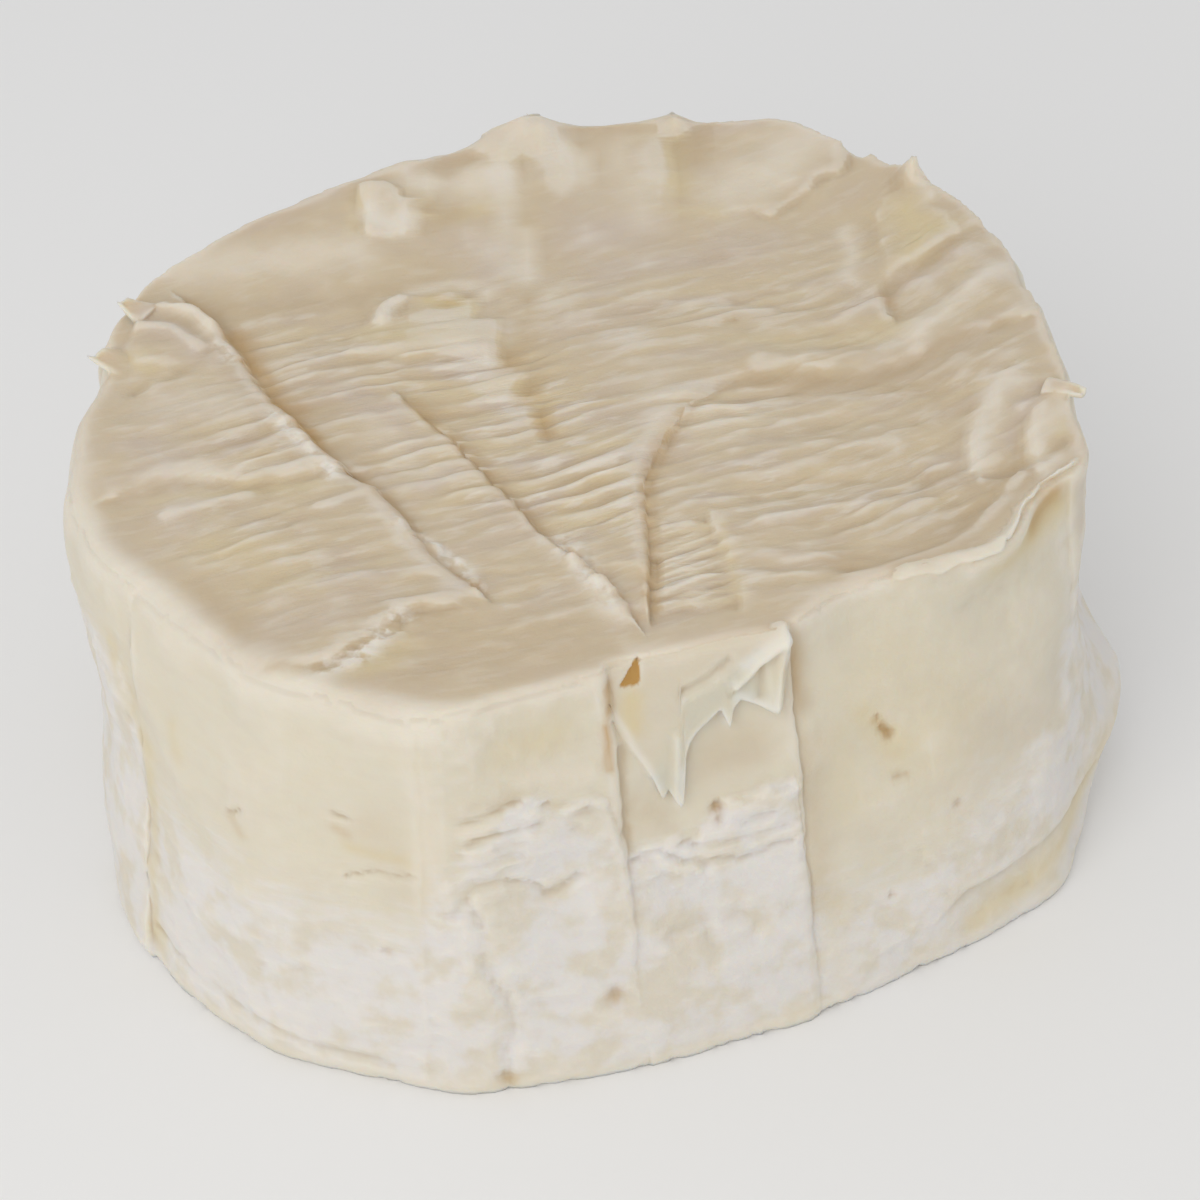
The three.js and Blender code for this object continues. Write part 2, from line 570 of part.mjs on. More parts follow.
/** The pared top without its ridges. */
function topHeight(x, y) {
  let height = TOP_LEVEL + TOP_TILT * y + TOP_UNEVENNESS * swell(0.8 * x, 0.8 * y);
  height += backRise(x, y) + RIGHT_RISE * smoothStep(24, 38, x) * smoothStep(-14, 2, y);
  for (const line of smoothLines) height += lineHeight(line, x, y);
  for (const fold of TOP_FOLDS) height += fold.height * bell(runDistance(fold.run, x, y), fold.half);
  for (const scrap of SCRAPS) height += scrapHeight(scrap, x, y);
  return height;
}

/** Ridges are strong in the middle and gone on the back facets and at the rim. */
function ridgeStrength(x, y) {
  const strength = RIDGED_PLACES.reduce(
    (most, place) => Math.max(most, place.strength * bell(runDistance(place.run, x, y), place.half)),
    FAINT_RIDGES);
  const front = 1 - smoothStep(...RIDGE_FRONT_FADE, y - readAlong(BACK_CREASE, x, 1));
  const inner = smoothStep(0, RIDGE_RIM_FADE, insideRim(x, y));
  return front * inner * strength * (RIDGE_MEAN + RIDGE_SWELL * swell(2 * y, x));
}

/** Ridges climb to the right, and more steeply on the right half. */
function ridgeClimb(x) {
  const right = Math.max(0, x - CLIMB.from);
  return CLIMB.slope * x + CLIMB.curve * right * right + CLIMB.wave * Math.sin(x * CLIMB.pace);
}

/** Where a step line crosses a given y. */
function lineX(line, y) {
  return readAlong(line.run.map(([x, atY]) => [atY, x]), y, 1);
}

const steepPart = (line, last) => ({ run: line.run.slice(0, last) });
const COLUMN_LINES = [
  TOP_LINES.leftStrip,
  TOP_LINES.middleStrip,
  steepPart(TOP_LINES.longStep, 6),
];
const strokePieces = STROKE_WIDTHS.map((width) => Math.ceil(width / RIDGE_COLUMN));

/** How far the ridges of one stroke are shifted at a given y. */
function ridgeShift(stroke, y) {
  return STROKE_SHIFTS.slice(0, stroke).reduce((sum, shift, i) => {
    const run = COLUMN_LINES[i].run;
    const fromFront = smoothStep(0, SHIFT_FADE, y - run[0][1]);
    const fromBack = smoothStep(0, SHIFT_FADE, run[run.length - 1][1] - y);
    return sum + shift * Math.min(fromFront, fromBack);
  }, 0);
}

/** Columns of the cutter at one y: x and the stroke it belongs to. */
function cutterColumns(y) {
  const stops = [-CUTTER_REACH, ...COLUMN_LINES.map((line) => lineX(line, y)), CUTTER_REACH];
  const columns = [];
  stops.slice(0, -1).forEach((stop, stroke) => {
    const from = stroke === 0 ? stop : stop + STEP_GAP;
    const to = stroke === stops.length - 2 ? stops[stroke + 1] : stops[stroke + 1] - STEP_GAP;
    const pieces = strokePieces[stroke];
    for (let k = 0; k <= pieces; k += 1) {
      columns.push({ x: from + ((to - from) * k) / pieces, stroke });
    }
  });
  return columns;
}

/** Rows of the cutter: distance across the ridges and share of the ridge height. */
function cutterRows() {
  const random = randomSource(7);
  const [least, most] = RIDGE_SPACING;
  const [first, last] = RIDGE_RANGE;
  const rows = [];
  for (let start = first; start < last;) {
    const spacing = least + (most - least) * random();
    for (const [share, height] of RIDGE_PROFILE) {
      rows.push({ across: start + share * spacing, height: height * (0.7 + 0.5 * random()) });
    }
    start += spacing;
  }
  return rows;
}

/** The cutter whose lower face is the pared top. */
function makeTopCutter() {
  const rows = cutterRows();
  const columnCount = cutterColumns(0).length;
  const positions = [];
  for (const row of rows) {
    for (let c = 0; c < columnCount; c += 1) {
      let y = row.across;
      let x = 0;
      for (let pass = 0; pass < 4; pass += 1) {
        const column = cutterColumns(y)[c];
        x = column.x;
        y = row.across + ridgeClimb(x) + ridgeShift(column.stroke, y);
      }
      y += RIDGE_WAVE * swell(2.2 * x, 1.4 * row.across);
      const z = topHeight(x, y) + RIDGE_HEIGHT * row.height * ridgeStrength(x, y);
      positions.push(x, y, z);
    }
  }
  return closeUpward(positions, columnCount, rows.length, CUTTER_HEIGHT);
}

/** Closes a sheet of rows and columns up to a level lid, faces outward. */
function closeUpward(positions, columnCount, rowCount, lid) {
  const under = positions.length / 3;
  const all = [...positions];
  for (let i = 0; i < under; i += 1) all.push(positions[3 * i], positions[3 * i + 1], lid);
  const at = (row, column) => row * columnCount + column;
  const index = [];
  for (let r = 0; r + 1 < rowCount; r += 1) {
    for (let c = 0; c + 1 < columnCount; c += 1) {
      const corners = [at(r, c), at(r, c + 1), at(r + 1, c + 1), at(r + 1, c)];
      index.push(corners[0], corners[2], corners[1], corners[0], corners[3], corners[2]);
      const [a, b, d, e] = corners.map((corner) => corner + under);
      index.push(a, b, d, a, d, e);
    }
  }
  const wall = (a, b) => index.push(a, b, b + under, a, b + under, a + under);
  for (let c = 0; c + 1 < columnCount; c += 1) {
    wall(at(0, c), at(0, c + 1));
    wall(at(rowCount - 1, c + 1), at(rowCount - 1, c));
  }
  for (let r = 0; r + 1 < rowCount; r += 1) {
    wall(at(r + 1, 0), at(r, 0));
    wall(at(r, columnCount - 1), at(r + 1, columnCount - 1));
  }
  return toGeometry(all, index);
}

// ---------------------------------------------------------------- flakes, crumbs and pits

/** A thin curled flake: a strip swept along a curling path, thinner toward its free edge. */
function makeFlake(flake, seed) {
  const random = randomSource(seed);
  const facing = new THREE.Vector3(
    Math.cos(flake.facing * DEGREE), Math.sin(flake.facing * DEGREE), 0);
  const across = new THREE.Vector3(-facing.y, facing.x, 0);
  const rag = Array.from({ length: FLAKE_COLUMNS + 1 }, () => random() - 0.5);
  const sides = [[], []];
  for (let c = 0; c <= FLAKE_COLUMNS; c += 1) {
    const side = (2 * c) / FLAKE_COLUMNS - 1;
    const length = flake.length * (1 + flake.slant * side + FLAKE_RAGGEDNESS * rag[c]);
    const point = new THREE.Vector3(...flake.root);
    const start = flake.pitch * DEGREE;
    point.addScaledVector(facing, -FLAKE_BURIED * Math.cos(start));
    point.z -= FLAKE_BURIED * Math.sin(start);
    const step = (length + FLAKE_BURIED) / FLAKE_ROWS;
    for (let r = 0; r <= FLAKE_ROWS; r += 1) {
      const share = r / FLAKE_ROWS;
      const angle = (flake.pitch + flake.curl * share) * DEGREE;
      const normal = facing.clone().multiplyScalar(-Math.sin(angle));
      normal.z = Math.cos(angle);
      const half = 0.5 * flake.thick * (1 - (1 - FLAKE_EDGE_THICKNESS) * share)
        * (1 - 0.45 * side * side);
      const spread = 0.5 * flake.width * side * (1 - flake.taper * share);
      const middle = point.clone().addScaledVector(across, spread);
      middle.addScaledVector(normal, 0.25 * Math.sin(3.1 * side + seed) * share);
      sides[0].push(middle.clone().addScaledVector(normal, half));
      sides[1].push(middle.clone().addScaledVector(normal, -half));
      point.addScaledVector(facing, step * Math.cos(angle));
      point.z += step * Math.sin(angle);
    }
  }
  return closeSheet(sides, FLAKE_COLUMNS + 1, FLAKE_ROWS + 1);
}

/** Joins an upper and a lower sheet of points around their edges. */
function closeSheet([upper, lower], columnCount, rowCount) {
  const positions = [...upper, ...lower].flatMap((point) => point.toArray());
  const under = upper.length;
  const at = (column, row) => column * rowCount + row;
  const index = [];
  for (let c = 0; c + 1 < columnCount; c += 1) {
    for (let r = 0; r + 1 < rowCount; r += 1) {
      const [a, b, d, e] = [at(c, r), at(c, r + 1), at(c + 1, r + 1), at(c + 1, r)];
      index.push(a, b, d, a, d, e);
      index.push(a + under, d + under, b + under, a + under, e + under, d + under);
    }
  }
  const wall = (a, b) => index.push(a, a + under, b + under, a, b + under, b);
  for (let c = 0; c + 1 < columnCount; c += 1) {
    wall(at(c + 1, 0), at(c, 0));
    wall(at(c, rowCount - 1), at(c + 1, rowCount - 1));
  }
  for (let r = 0; r + 1 < rowCount; r += 1) {
    wall(at(0, r), at(0, r + 1));
    wall(at(columnCount - 1, r + 1), at(columnCount - 1, r));
  }
  return toGeometry(positions, index);
}

/** A sheet draped over the rim: up out of the top, round the rim and down the side. */
function makeDrape({ standOff, tornEdge }) {
  const sides = [[], []];
  const first = tornEdge[0][0];
  const last = tornEdge[tornEdge.length - 1][0];
  for (const [azimuth, tornHeight] of tornEdge) {
    const outX = Math.cos(azimuth * DEGREE);
    const outY = Math.sin(azimuth * DEGREE);
    const inside = sideRadius(azimuth, TOP_LEVEL - RIM_READ.below, false) - RIM_READ.inside;
    const rimTop = topHeight(inside * outX, inside * outY);
    const length = DRAPE_REACH + rimTop - tornHeight;
    const sunkEnd = smoothStep(DRAPE_END, 0, Math.min(azimuth - first, last - azimuth));
    for (let r = 0; r <= DRAPE_ROWS; r += 1) {
      const share = r / DRAPE_ROWS;
      const pastRim = share * length - DRAPE_REACH;
      const bent = Math.hypot(pastRim, DRAPE_ROUND);
      const down = 0.5 * (pastRim + bent) - DRAPE_DIP;
      const steep = 0.5 * (1 + pastRim / bent);
      const height = rimTop - down;
      const outward = sideRadius(azimuth, Math.min(height, TOP_LEVEL), false) + pastRim - down;
      const sunk = DRAPE_SUNK * (smoothStep(0, -DRAPE_REACH, pastRim) + sunkEnd);
      const lift = DRAPE_LIFT + standOff * share * share * (1 - sunkEnd) - sunk;
      [lift, -DRAPE_INNER].forEach((out, side) => {
        const radius = outward + out * steep;
        sides[side].push(
          new THREE.Vector3(radius * outX, radius * outY, height + out * (1 - steep)));
      });
    }
  }
  return closeSheet(sides, tornEdge.length, DRAPE_ROWS + 1);
}

/** A small uneven lump, for a crumb or for the hollow of a pit. */
function makeLump([x, y, z, radius], seed) {
  const geometry = new THREE.IcosahedronGeometry(radius, 1);
  geometry.scale(1 + 0.3 * Math.sin(seed), 1 - 0.2 * Math.sin(2 * seed), 0.85);
  geometry.rotateZ(seed);
  geometry.translate(x, y, z);
  return geometry;
}

// ---------------------------------------------------------------- joining and cutting

const wasm = await Module();
wasm.setup();

function toGeometry(positions, index) {
  const geometry = new THREE.BufferGeometry();
  geometry.setAttribute('position', new THREE.Float32BufferAttribute(positions, 3));
  geometry.setIndex(index);
  return geometry;
}

function toSolid(geometry) {
  geometry.deleteAttribute('normal');
  geometry.deleteAttribute('uv');
  const merged = mergeVertices(geometry, MERGE_DISTANCE);
  return new wasm.Manifold(new wasm.Mesh({
    numProp: 3,
    vertProperties: new Float32Array(merged.attributes.position.array),
    triVerts: new Uint32Array(merged.index.array),
  }));
}

function fromSolid(solid) {
  const { vertProperties, triVerts } = solid.getMesh();
  const geometry = toGeometry(Array.from(vertProperties), Array.from(triVerts));
  geometry.computeVertexNormals();
  return geometry;
}

let cheese = toSolid(makeBlank()).subtract(toSolid(makeTopCutter()));
FLAKES.forEach((flake, i) => {
  cheese = cheese.add(toSolid(makeFlake(flake, i + 1)));
});
DRAPES.forEach((drape) => {
  cheese = cheese.add(toSolid(makeDrape(drape)));
});
CRUMBS.forEach((crumb, i) => {
  cheese = cheese.add(toSolid(makeLump(crumb, i + 1)));
});
PITS.forEach((pit, i) => {
  cheese = cheese.subtract(toSolid(makeLump(pit, i + 1)));
});

const geometry = fromSolid(cheese);
geometry.computeBoundingBox();
const middle = geometry.boundingBox.getCenter(new THREE.Vector3());
geometry.translate(-middle.x, -middle.y, 0);

const wheel = new THREE.Mesh(
  geometry,
  new THREE.MeshStandardMaterial({ color: PASTE_COLOUR, roughness: 0.55, metalness: 0 }),
);
wheel.name = 'cheese_wheel';

const object = new THREE.Group();
object.add(wheel);

export default object;
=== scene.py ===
# %% [markdown]
# # A pared soft cheese wheel
#
# The object is a small soft-ripened cheese, about 93 mm across and 46 mm tall. A white,
# velvety rind grows on such a cheese. Here it has been pared off with a knife, so most of
# the outside is bare, creamy paste: flat cuts around the side, chatter ridges of the blade
# across the top, torn rind left on the lower part and thin curled flakes along the rim.
#
# It could be made as a sculpted blob, but the marks of a knife are regular enough to be
# built the way they came about: a blank, a cut across the top, and flakes added after.

import math

import bpy
import numpy as np
from mathutils import Matrix, Vector


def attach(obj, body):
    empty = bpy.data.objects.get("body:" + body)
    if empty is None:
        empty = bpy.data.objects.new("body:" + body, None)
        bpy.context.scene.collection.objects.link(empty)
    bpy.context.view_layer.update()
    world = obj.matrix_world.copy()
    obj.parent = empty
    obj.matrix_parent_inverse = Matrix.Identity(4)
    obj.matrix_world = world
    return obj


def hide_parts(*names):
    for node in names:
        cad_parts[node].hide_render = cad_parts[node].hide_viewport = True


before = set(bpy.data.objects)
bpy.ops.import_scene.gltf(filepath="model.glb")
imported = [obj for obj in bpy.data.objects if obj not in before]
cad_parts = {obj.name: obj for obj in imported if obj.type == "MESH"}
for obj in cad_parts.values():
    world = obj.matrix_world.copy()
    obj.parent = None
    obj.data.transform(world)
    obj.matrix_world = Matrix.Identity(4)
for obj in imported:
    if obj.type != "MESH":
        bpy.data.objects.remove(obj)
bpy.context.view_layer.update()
for thing in bpy.context.selected_objects:
    thing.select_set(False)

# %% [markdown]
# ## One frame for everything
#
# All sizes below are in millimetres, measured from the middle of the round the wheel was
# cut from. The flakes at the rim make the whole thing a little lopsided, so the middle of
# its box is not the middle of that round, and one small shift joins the two.

# %% Shift and scale
MM = 0.001
SHIFT = np.array([-0.65864, 0.79045, 0.0])  # from the round's middle to the box's middle


def to_metres(points):
    """Points of the round, in mm, as the object's own metres."""
    return (np.asarray(points, float) + SHIFT) * MM


# %% [markdown]
# ## The camera
#
# A long lens from 300 mm away, looking down at 37 degrees and tipped 3 degrees, shows the
# ridged top and the front of the side together.

# %% Camera
LENS = 101.7
DISTANCE = 300.0
ELEVATION = math.radians(37.0)
ROLL = math.radians(3.0)
AIM = (0.0, -3.0, 19.0)
SENSOR_WIDTH = 36.0
NEAR_CLIP = 0.01  # metres

back = Vector((0.0, -math.cos(ELEVATION), math.sin(ELEVATION)))
level = Vector((1.0, 0.0, 0.0))
upright = back.cross(level)
right = level * math.cos(ROLL) - upright * math.sin(ROLL)
up = level * math.sin(ROLL) + upright * math.cos(ROLL)
eye = Vector(to_metres(AIM)) + back * DISTANCE * MM

bpy.ops.object.camera_add(location=eye)
camera = bpy.context.object
camera.matrix_world = Matrix.Translation(eye) @ Matrix((right, up, back)).transposed().to_4x4()
camera.data.lens = LENS
camera.data.sensor_width = SENSOR_WIDTH
camera.data.clip_start = NEAR_CLIP
bpy.context.scene.camera = camera
print("camera", round(DISTANCE), "mm away with a", LENS, "mm lens")

# %% [markdown]
# ## Floor and light
#
# A pale floor and one very large, soft lamp low at the front left. Low light brightens the
# upright side more than the flat top, and it rakes over the ridges, so that they show. A
# pale sky fills the shadows.

# %% Floor and light
FLOOR_COLOUR = (0.86, 0.86, 0.86, 1.0)
FLOOR_ROUGHNESS = 0.9
SKY_STRENGTH = 0.68
KEY_SIZE = 0.7
KEY_POWER = 2.3
KEY_AZIMUTH = math.radians(-112.0)
KEY_ELEVATION = math.radians(38.0)
KEY_DISTANCE = 0.8
KEY_COLOUR = (1.0, 0.985, 0.96)

bpy.ops.mesh.primitive_plane_add(size=4.0, location=(0.0, 0.0, 0.0))
floor = bpy.context.object
floor.name = "studio_floor"
floor_paint = bpy.data.materials.new("floor paint")
floor_paint.use_nodes = True
floor_shader = floor_paint.node_tree.nodes["Principled BSDF"]
floor_shader.inputs["Base Color"].default_value = FLOOR_COLOUR
floor_shader.inputs["Roughness"].default_value = FLOOR_ROUGHNESS
floor.data.materials.append(floor_paint)

key_way = Vector((
    math.cos(KEY_AZIMUTH) * math.cos(KEY_ELEVATION),
    math.sin(KEY_AZIMUTH) * math.cos(KEY_ELEVATION),
    math.sin(KEY_ELEVATION),
))
bpy.ops.object.light_add(type="AREA", location=key_way * KEY_DISTANCE)
key = bpy.context.object
key.rotation_euler = key_way.to_track_quat("Z", "Y").to_euler()
key.data.shape = "DISK"
key.data.size = KEY_SIZE
key.data.energy = KEY_POWER
key.data.color = KEY_COLOUR

sky = bpy.data.worlds.new("soft sky")
sky.use_nodes = True
sky.node_tree.nodes["Background"].inputs["Color"].default_value = (1.0, 1.0, 1.0, 1.0)
sky.node_tree.nodes["Background"].inputs["Strength"].default_value = SKY_STRENGTH
bpy.context.scene.world = sky
bpy.context.scene.view_settings.view_transform = "Standard"
print("one soft lamp and a pale sky")

# %% [markdown]
# ## Small tools for uneven shapes
#
# Nothing on a cut cheese repeats exactly. Two helpers give that: a slow swell from three
# sine waves, shared with the solid model, and a lumpy pattern made from fixed scrambled
# numbers, so that it comes out the same every time.

# %% Helpers for uneven shapes


def swell(a, b):
    """A slow, uneven wave between about -1 and 1."""
    return (
        0.5 * np.sin(0.19 * a + 0.11 * b + 0.7)
        + 0.3 * np.sin(0.37 * b - 0.23 * a + 2.1)
        + 0.2 * np.sin(0.61 * a + 0.47 * b + 4.0)
    )


def scrambled(i, j, seed):
    value = np.sin(i * 127.1 + j * 311.7 + seed * 74.7) * 43758.5453
    return 2.0 * (value - np.floor(value)) - 1.0


def lumps(a, b, seed):
    """One lump for each unit of a and b, between -1 and 1."""
    a, b = np.broadcast_arrays(np.asarray(a, float), np.asarray(b, float))
    i, j = np.floor(a), np.floor(b)
    u, v = a - i, b - j
    u, v = u * u * (3 - 2 * u), v * v * (3 - 2 * v)
    near = scrambled(i, j, seed) * (1 - u) + scrambled(i + 1, j, seed) * u
    far = scrambled(i, j + 1, seed) * (1 - u) + scrambled(i + 1, j + 1, seed) * u
    return near * (1 - v) + far * v


def rough(a, b, seed):
    """Large lumps with smaller ones on them, between about -1 and 1."""
    return (
        0.57 * lumps(a, b, seed)
        + 0.29 * lumps(2.03 * a + 5.2, 2.03 * b + 1.3, seed + 1)
        + 0.14 * lumps(4.1 * a + 2.7, 4.1 * b + 8.4, seed + 2)
    )


def laid(pattern, texture, a, b):
    """A pattern in one texture: its height, its size along a and along b, its seed."""
    height, a_size, b_size, seed = texture
    return height * pattern(a / a_size, b / b_size, seed)


def smooth_step(low, high, value):
    share = np.clip((value - low) / (high - low), 0.0, 1.0)
    return share * share * (3 - 2 * share)


def bell(offset, spread):
    return np.exp(-((offset / spread) ** 2))


def turn(start, end):
    """The turn from one azimuth to another, between -180 and 180 degrees."""
    return (end - start + 180.0) % 360.0 - 180.0


def azimuth_of(x, y):
    return np.degrees(np.arctan2(y, x))


def read_around(table, azimuth, column):
    """Reads a table whose rows start with an azimuth, around the full circle."""
    rows = np.array(table, float)
    return np.interp(azimuth, rows[:, 0], rows[:, column], period=360.0)


def read_along(table, x, column):
    rows = np.array(table, float)
    return np.interp(x, rows[:, 0], rows[:, column])


def stretched(run, scale):
    """A run whose first measure is scaled, such as an azimuth turned into mm."""
    return [(a * scale, b) for a, b in run]


def random_source(seed):
    """The same repeatable random numbers as the solid model."""
    state = seed
    while True:
        state = (state * 1664525 + 1013904223) % 4294967296
        yield state / 4294967296


print("swell at the middle:", round(float(swell(0.0, 0.0)), 3))

# %% [markdown]
# ## The side: flat cuts that meet in corners
#
# The knife went down the side about two dozen times, so seen from above the wheel is a
# polygon with eased corners. Each corner is an azimuth with a radius at the rim and one at
# the base, and between two corners the cut is a straight chord. Where a cut ran deep, it
# ends at an upright seam with a proud lip on one side.

# %% Sizes of the side
TOP_LEVEL = 39.0
BLANK_HEIGHT = 48.0
BASE_TUCK = 0.5
BASE_TUCK_HEIGHT = 1.4
RIND_THICKNESS = 0.5
SIDE_UNEVENNESS = 0.35
ARC = 0.75  # mm along the side for one degree

# azimuth, radius at the rim, radius at the base
SIDE_CORNERS = np.array([
    [-178, 44.2, 45.5], [-167, 45.2, 46.2], [-155, 45.4, 47.5], [-141, 43.9, 48.7],
    [-127, 45.3, 48.5], [-107, 45, 46.8], [-89, 37.2, 42.9], [-66, 36.4, 40.8],
    [-60, 35.2, 41.2], [-45, 38.2, 43.1], [-31, 40.8, 46], [-18, 43.8, 45],
    [0, 41.2, 44.4], [12, 41, 44.6], [27, 44.1, 44.2], [40, 44.6, 43.8],
    [64, 46, 45], [76, 43.2, 44], [102, 39.2, 42.6], [121, 39.4, 42.6],
    [140, 42.6, 43.6], [153, 46.1, 44.6], [163, 45.2, 45], [172, 42.8, 44.6],
])

# azimuth, how proud the cut before the seam stands at the rim and at the base, and how far
# the seam drifts in degrees from rim to base
SIDE_SEAMS = [
    (-147.3, 0.05, 0.08, 0), (-109, 0.03, 0.06, -1), (-89.8, 0.9, -0.15, 2.6),
    (-66.5, 0.35, 0.12, 0.6), (-22, -0.2, 0.1, 0), (16, 0.5, 0.4, 1), (52, 0.6, 0.3, -1),
    (97, 0.5, 0.3, 2), (131, 0.4, 0.3, 0), (166, 0.4, 0.2, -1),
]
SEAM_PROUD_REACH = 7.0
SEAM_HOLLOW = 0.3
SEAM_HOLLOW_REACH = 4.0
SEAM_LEAN_REACH = 8.0

# azimuth, height, amount, spread in degrees, half height
SIDE_SWELLS = [
    (-6, 8, 2.75, 11, 4.8), (-8, 24, -2.4, 14, 9), (-169, 32, 0.8, 22, 6),
    (-168, 19, -1.2, 20, 8), (-38, 38.5, 1.5, 7, 2.8), (-30, 33, -0.8, 14, 3),
    (-27, 37.4, -1.2, 5, 2.4),
    (-128, 24, 0.8, 14, 12), (-75, 33, -0.7, 8, 5), (-97, 18, -0.5, 5, 6),
]

# azimuth, how far the rim rolls inward, height of the roll
RIM_ROLL = [
    (-180, 1, 2.4), (-168, 1.5, 2.8), (-152, 2, 3.2), (-118, 2.2, 3.4), (-106, 1.8, 3),
    (-94, 1.2, 2), (-60, 0.6, 1.2), (-20, 0.5, 1), (20, 1.2, 2), (52, 1, 3),
    (64, 1.1, 11), (110, 1.4, 12), (150, 1.4, 11), (166, 1.4, 4), (172, 1.4, 2.4),
]

# a low cut sliced the swollen right side: azimuth, height of its upper edge, how deep it is
LOW_CUT = [
    (-180, 6, 0), (-64, 3, 0), (-50, 4.8, 0.3), (-45, 6.7, 0.5), (-24, 7.2, 0.45),
    (-14, 7, 0.2), (-6, 7, 0), (170, 6, 0),
]
LOW_CUT_EDGE = 0.35


def cut_radius(azimuth, column):
    """Radius of the straight chord between two corners."""
    first = SIDE_CORNERS[0, 0]
    turned = (azimuth - first) % 360.0 + first
    here = np.searchsorted(SIDE_CORNERS[:, 0], turned, side="right") - 1
    following = (here + 1) % len(SIDE_CORNERS)
    span = (SIDE_CORNERS[following, 0] - SIDE_CORNERS[here, 0]) % 360.0
    along = turned - SIDE_CORNERS[here, 0]
    radius, onward = SIDE_CORNERS[here, column], SIDE_CORNERS[following, column]
    across = radius * np.sin(np.radians(along)) + onward * np.sin(np.radians(span - along))
    return radius * onward * np.sin(np.radians(span)) / across


def eased_radius(azimuth, column):
    """The same radius with the corners eased."""
    return sum(cut_radius(azimuth + offset, column) for offset in (-3, -1.5, 0, 1.5, 3)) / 5


def seam_offset(seam, azimuth, z):
    """How far past a leaning seam a point of the side lies, in degrees."""
    return turn(seam[0] + seam[3] * (1 - z / TOP_LEVEL), azimuth)


def side_radius(azimuth, z):
    """Radius of the bare side, without rind and torn spots."""
    share = np.clip(z / TOP_LEVEL, 0.0, 1.0)
    radius = eased_radius(azimuth, 2) * (1 - share) + eased_radius(azimuth, 1) * share
    for middle, height, amount, spread, half in SIDE_SWELLS:
        radius = radius + amount * bell(turn(middle, azimuth), spread) * bell(z - height, half)
    for seam in SIDE_SEAMS:
        past = seam_offset(seam, azimuth, z)
        proud = seam[1] * share + seam[2] * (1 - share)
        lip = proud * np.exp(np.minimum(past, 0) / SEAM_PROUD_REACH)
        hollow = proud * SEAM_HOLLOW * np.exp(-np.maximum(past, 0) / SEAM_HOLLOW_REACH)
        radius = radius + np.where(past < 0, lip, -hollow)
    below = smooth_step(LOW_CUT_EDGE, -LOW_CUT_EDGE, z - read_around(LOW_CUT, azimuth, 1))
    radius = radius - below * read_around(LOW_CUT, azimuth, 2)
    height = read_around(RIM_ROLL, azimuth, 2)
    rolled = np.clip((z - TOP_LEVEL + height) / height, 0.0, 1.0)
    radius = radius - read_around(RIM_ROLL, azimuth, 1) * (1 - np.sqrt(1 - 0.98 * rolled**2))
    tuck = np.clip(1 - z / BASE_TUCK_HEIGHT, 0.0, 1.0)
    return radius + SIDE_UNEVENNESS * swell(0.8 * azimuth, 1.3 * z) - BASE_TUCK * tuck**2


print("front radius half way up:", round(float(side_radius(-90.0, 20.0)), 1), "mm")

# %% [markdown]
# ## What is left on the side: torn rind, cracks and holes
#
# Bloomy rind is a felt of mould about half a millimetre thick. Where the knife stopped, it
# tore, so its upper edge is ragged and islands of it stay higher up. It is built as a step
# in the radius wherever a ragged measure, the height below the edge, is above zero. The
# same measure colours it later. Cracks are grooves along a run of points, and holes are
# small round hollows.

# %% Rind, cracks and holes
# azimuth, height of the upper edge of the rind, how softly it wears out there
RIND_EDGE = [
    (-180, 29, 2), (-150, 31, 2), (-147, 19, 4), (-134, 18.5, 5), (-122, 17, 5),
    (-110, 17, 4), (-108, 22, 2), (-101, 27.5, 0.8), (-91, 28.5, 0.8), (-88.5, 20.5, 1),
    (-80, 20.5, 1), (-76, 24, 1), (-67, 25, 1), (-66, 11, 4), (-60, 10, 5), (-45, 13, 5),
    (-28, 17, 4), (-21, 27, 3), (-18, 35, 3), (6, 34, 3), (18, 27, 1), (50, 24, 1), (54, 17, 1.5),
    (95, 21, 1.5), (99, 29, 1), (129, 26, 1), (133, 18, 1.5), (164, 21, 1.5), (168, 28, 1),
]

# depth, half width, then azimuth and height of each point of the run
CRACKS = [
    (0.35, 0.45, [
        (-105.4, 20.4), (-104.6, 17.3), (-103.2, 12), (-101.8, 9), (-101.6, 7), (-102.4, 2)]),
    (0.3, 0.4, [(-106.6, 19), (-105, 21.4), (-102.6, 21.6)]),
    (0.5, 0.4, [(-101.4, 21.6), (-99.4, 20.6), (-97.6, 19.4), (-95.4, 19.6), (-93.8, 20.6)]),
    (0.35, 0.35, [(-104.6, 26.2), (-101, 26.6), (-97.6, 26.4)]),
    (0.3, 0.3, [(-105, 28.2), (-101, 28.7), (-96.5, 28.4)]),
    (0.25, 0.25, [(-117.4, 21.5), (-114, 22.5), (-110.6, 22.8)]),
    (0.3, 0.25, [(-130.6, 24.2), (-128.8, 25.2)]),
    (0.3, 0.25, [(-118.6, 27.6), (-117, 27.4)]),
    (0.3, 0.4, [(-146, 4.2), (-136.9, 3.7), (-129.5, 3.3), (-122, 2.8), (-114, 2.2)]),
    (0.4, 0.3, [(-88, 20.6), (-85, 20.8), (-82, 19.6), (-79, 18.6), (-73, 18), (-68, 18.6)]),
    (0.3, 0.3, [(-82, 21), (-78, 20.4), (-73, 19.8), (-69, 20.2)]),
    (0.25, 0.7, [(-84, 12.5), (-80, 13), (-79, 10.5)]),
    (0.25, 0.8, [(-76, 13), (-73, 12), (-74.5, 10)]),
    (0.35, 0.4, [(40, 20), (44, 12), (42, 4)]),
    (0.4, 0.4, [(120, 22), (116, 13), (119, 5)]),
    (0.35, 0.3, [(-174, 22), (-170, 14), (-172, 6)]),
]

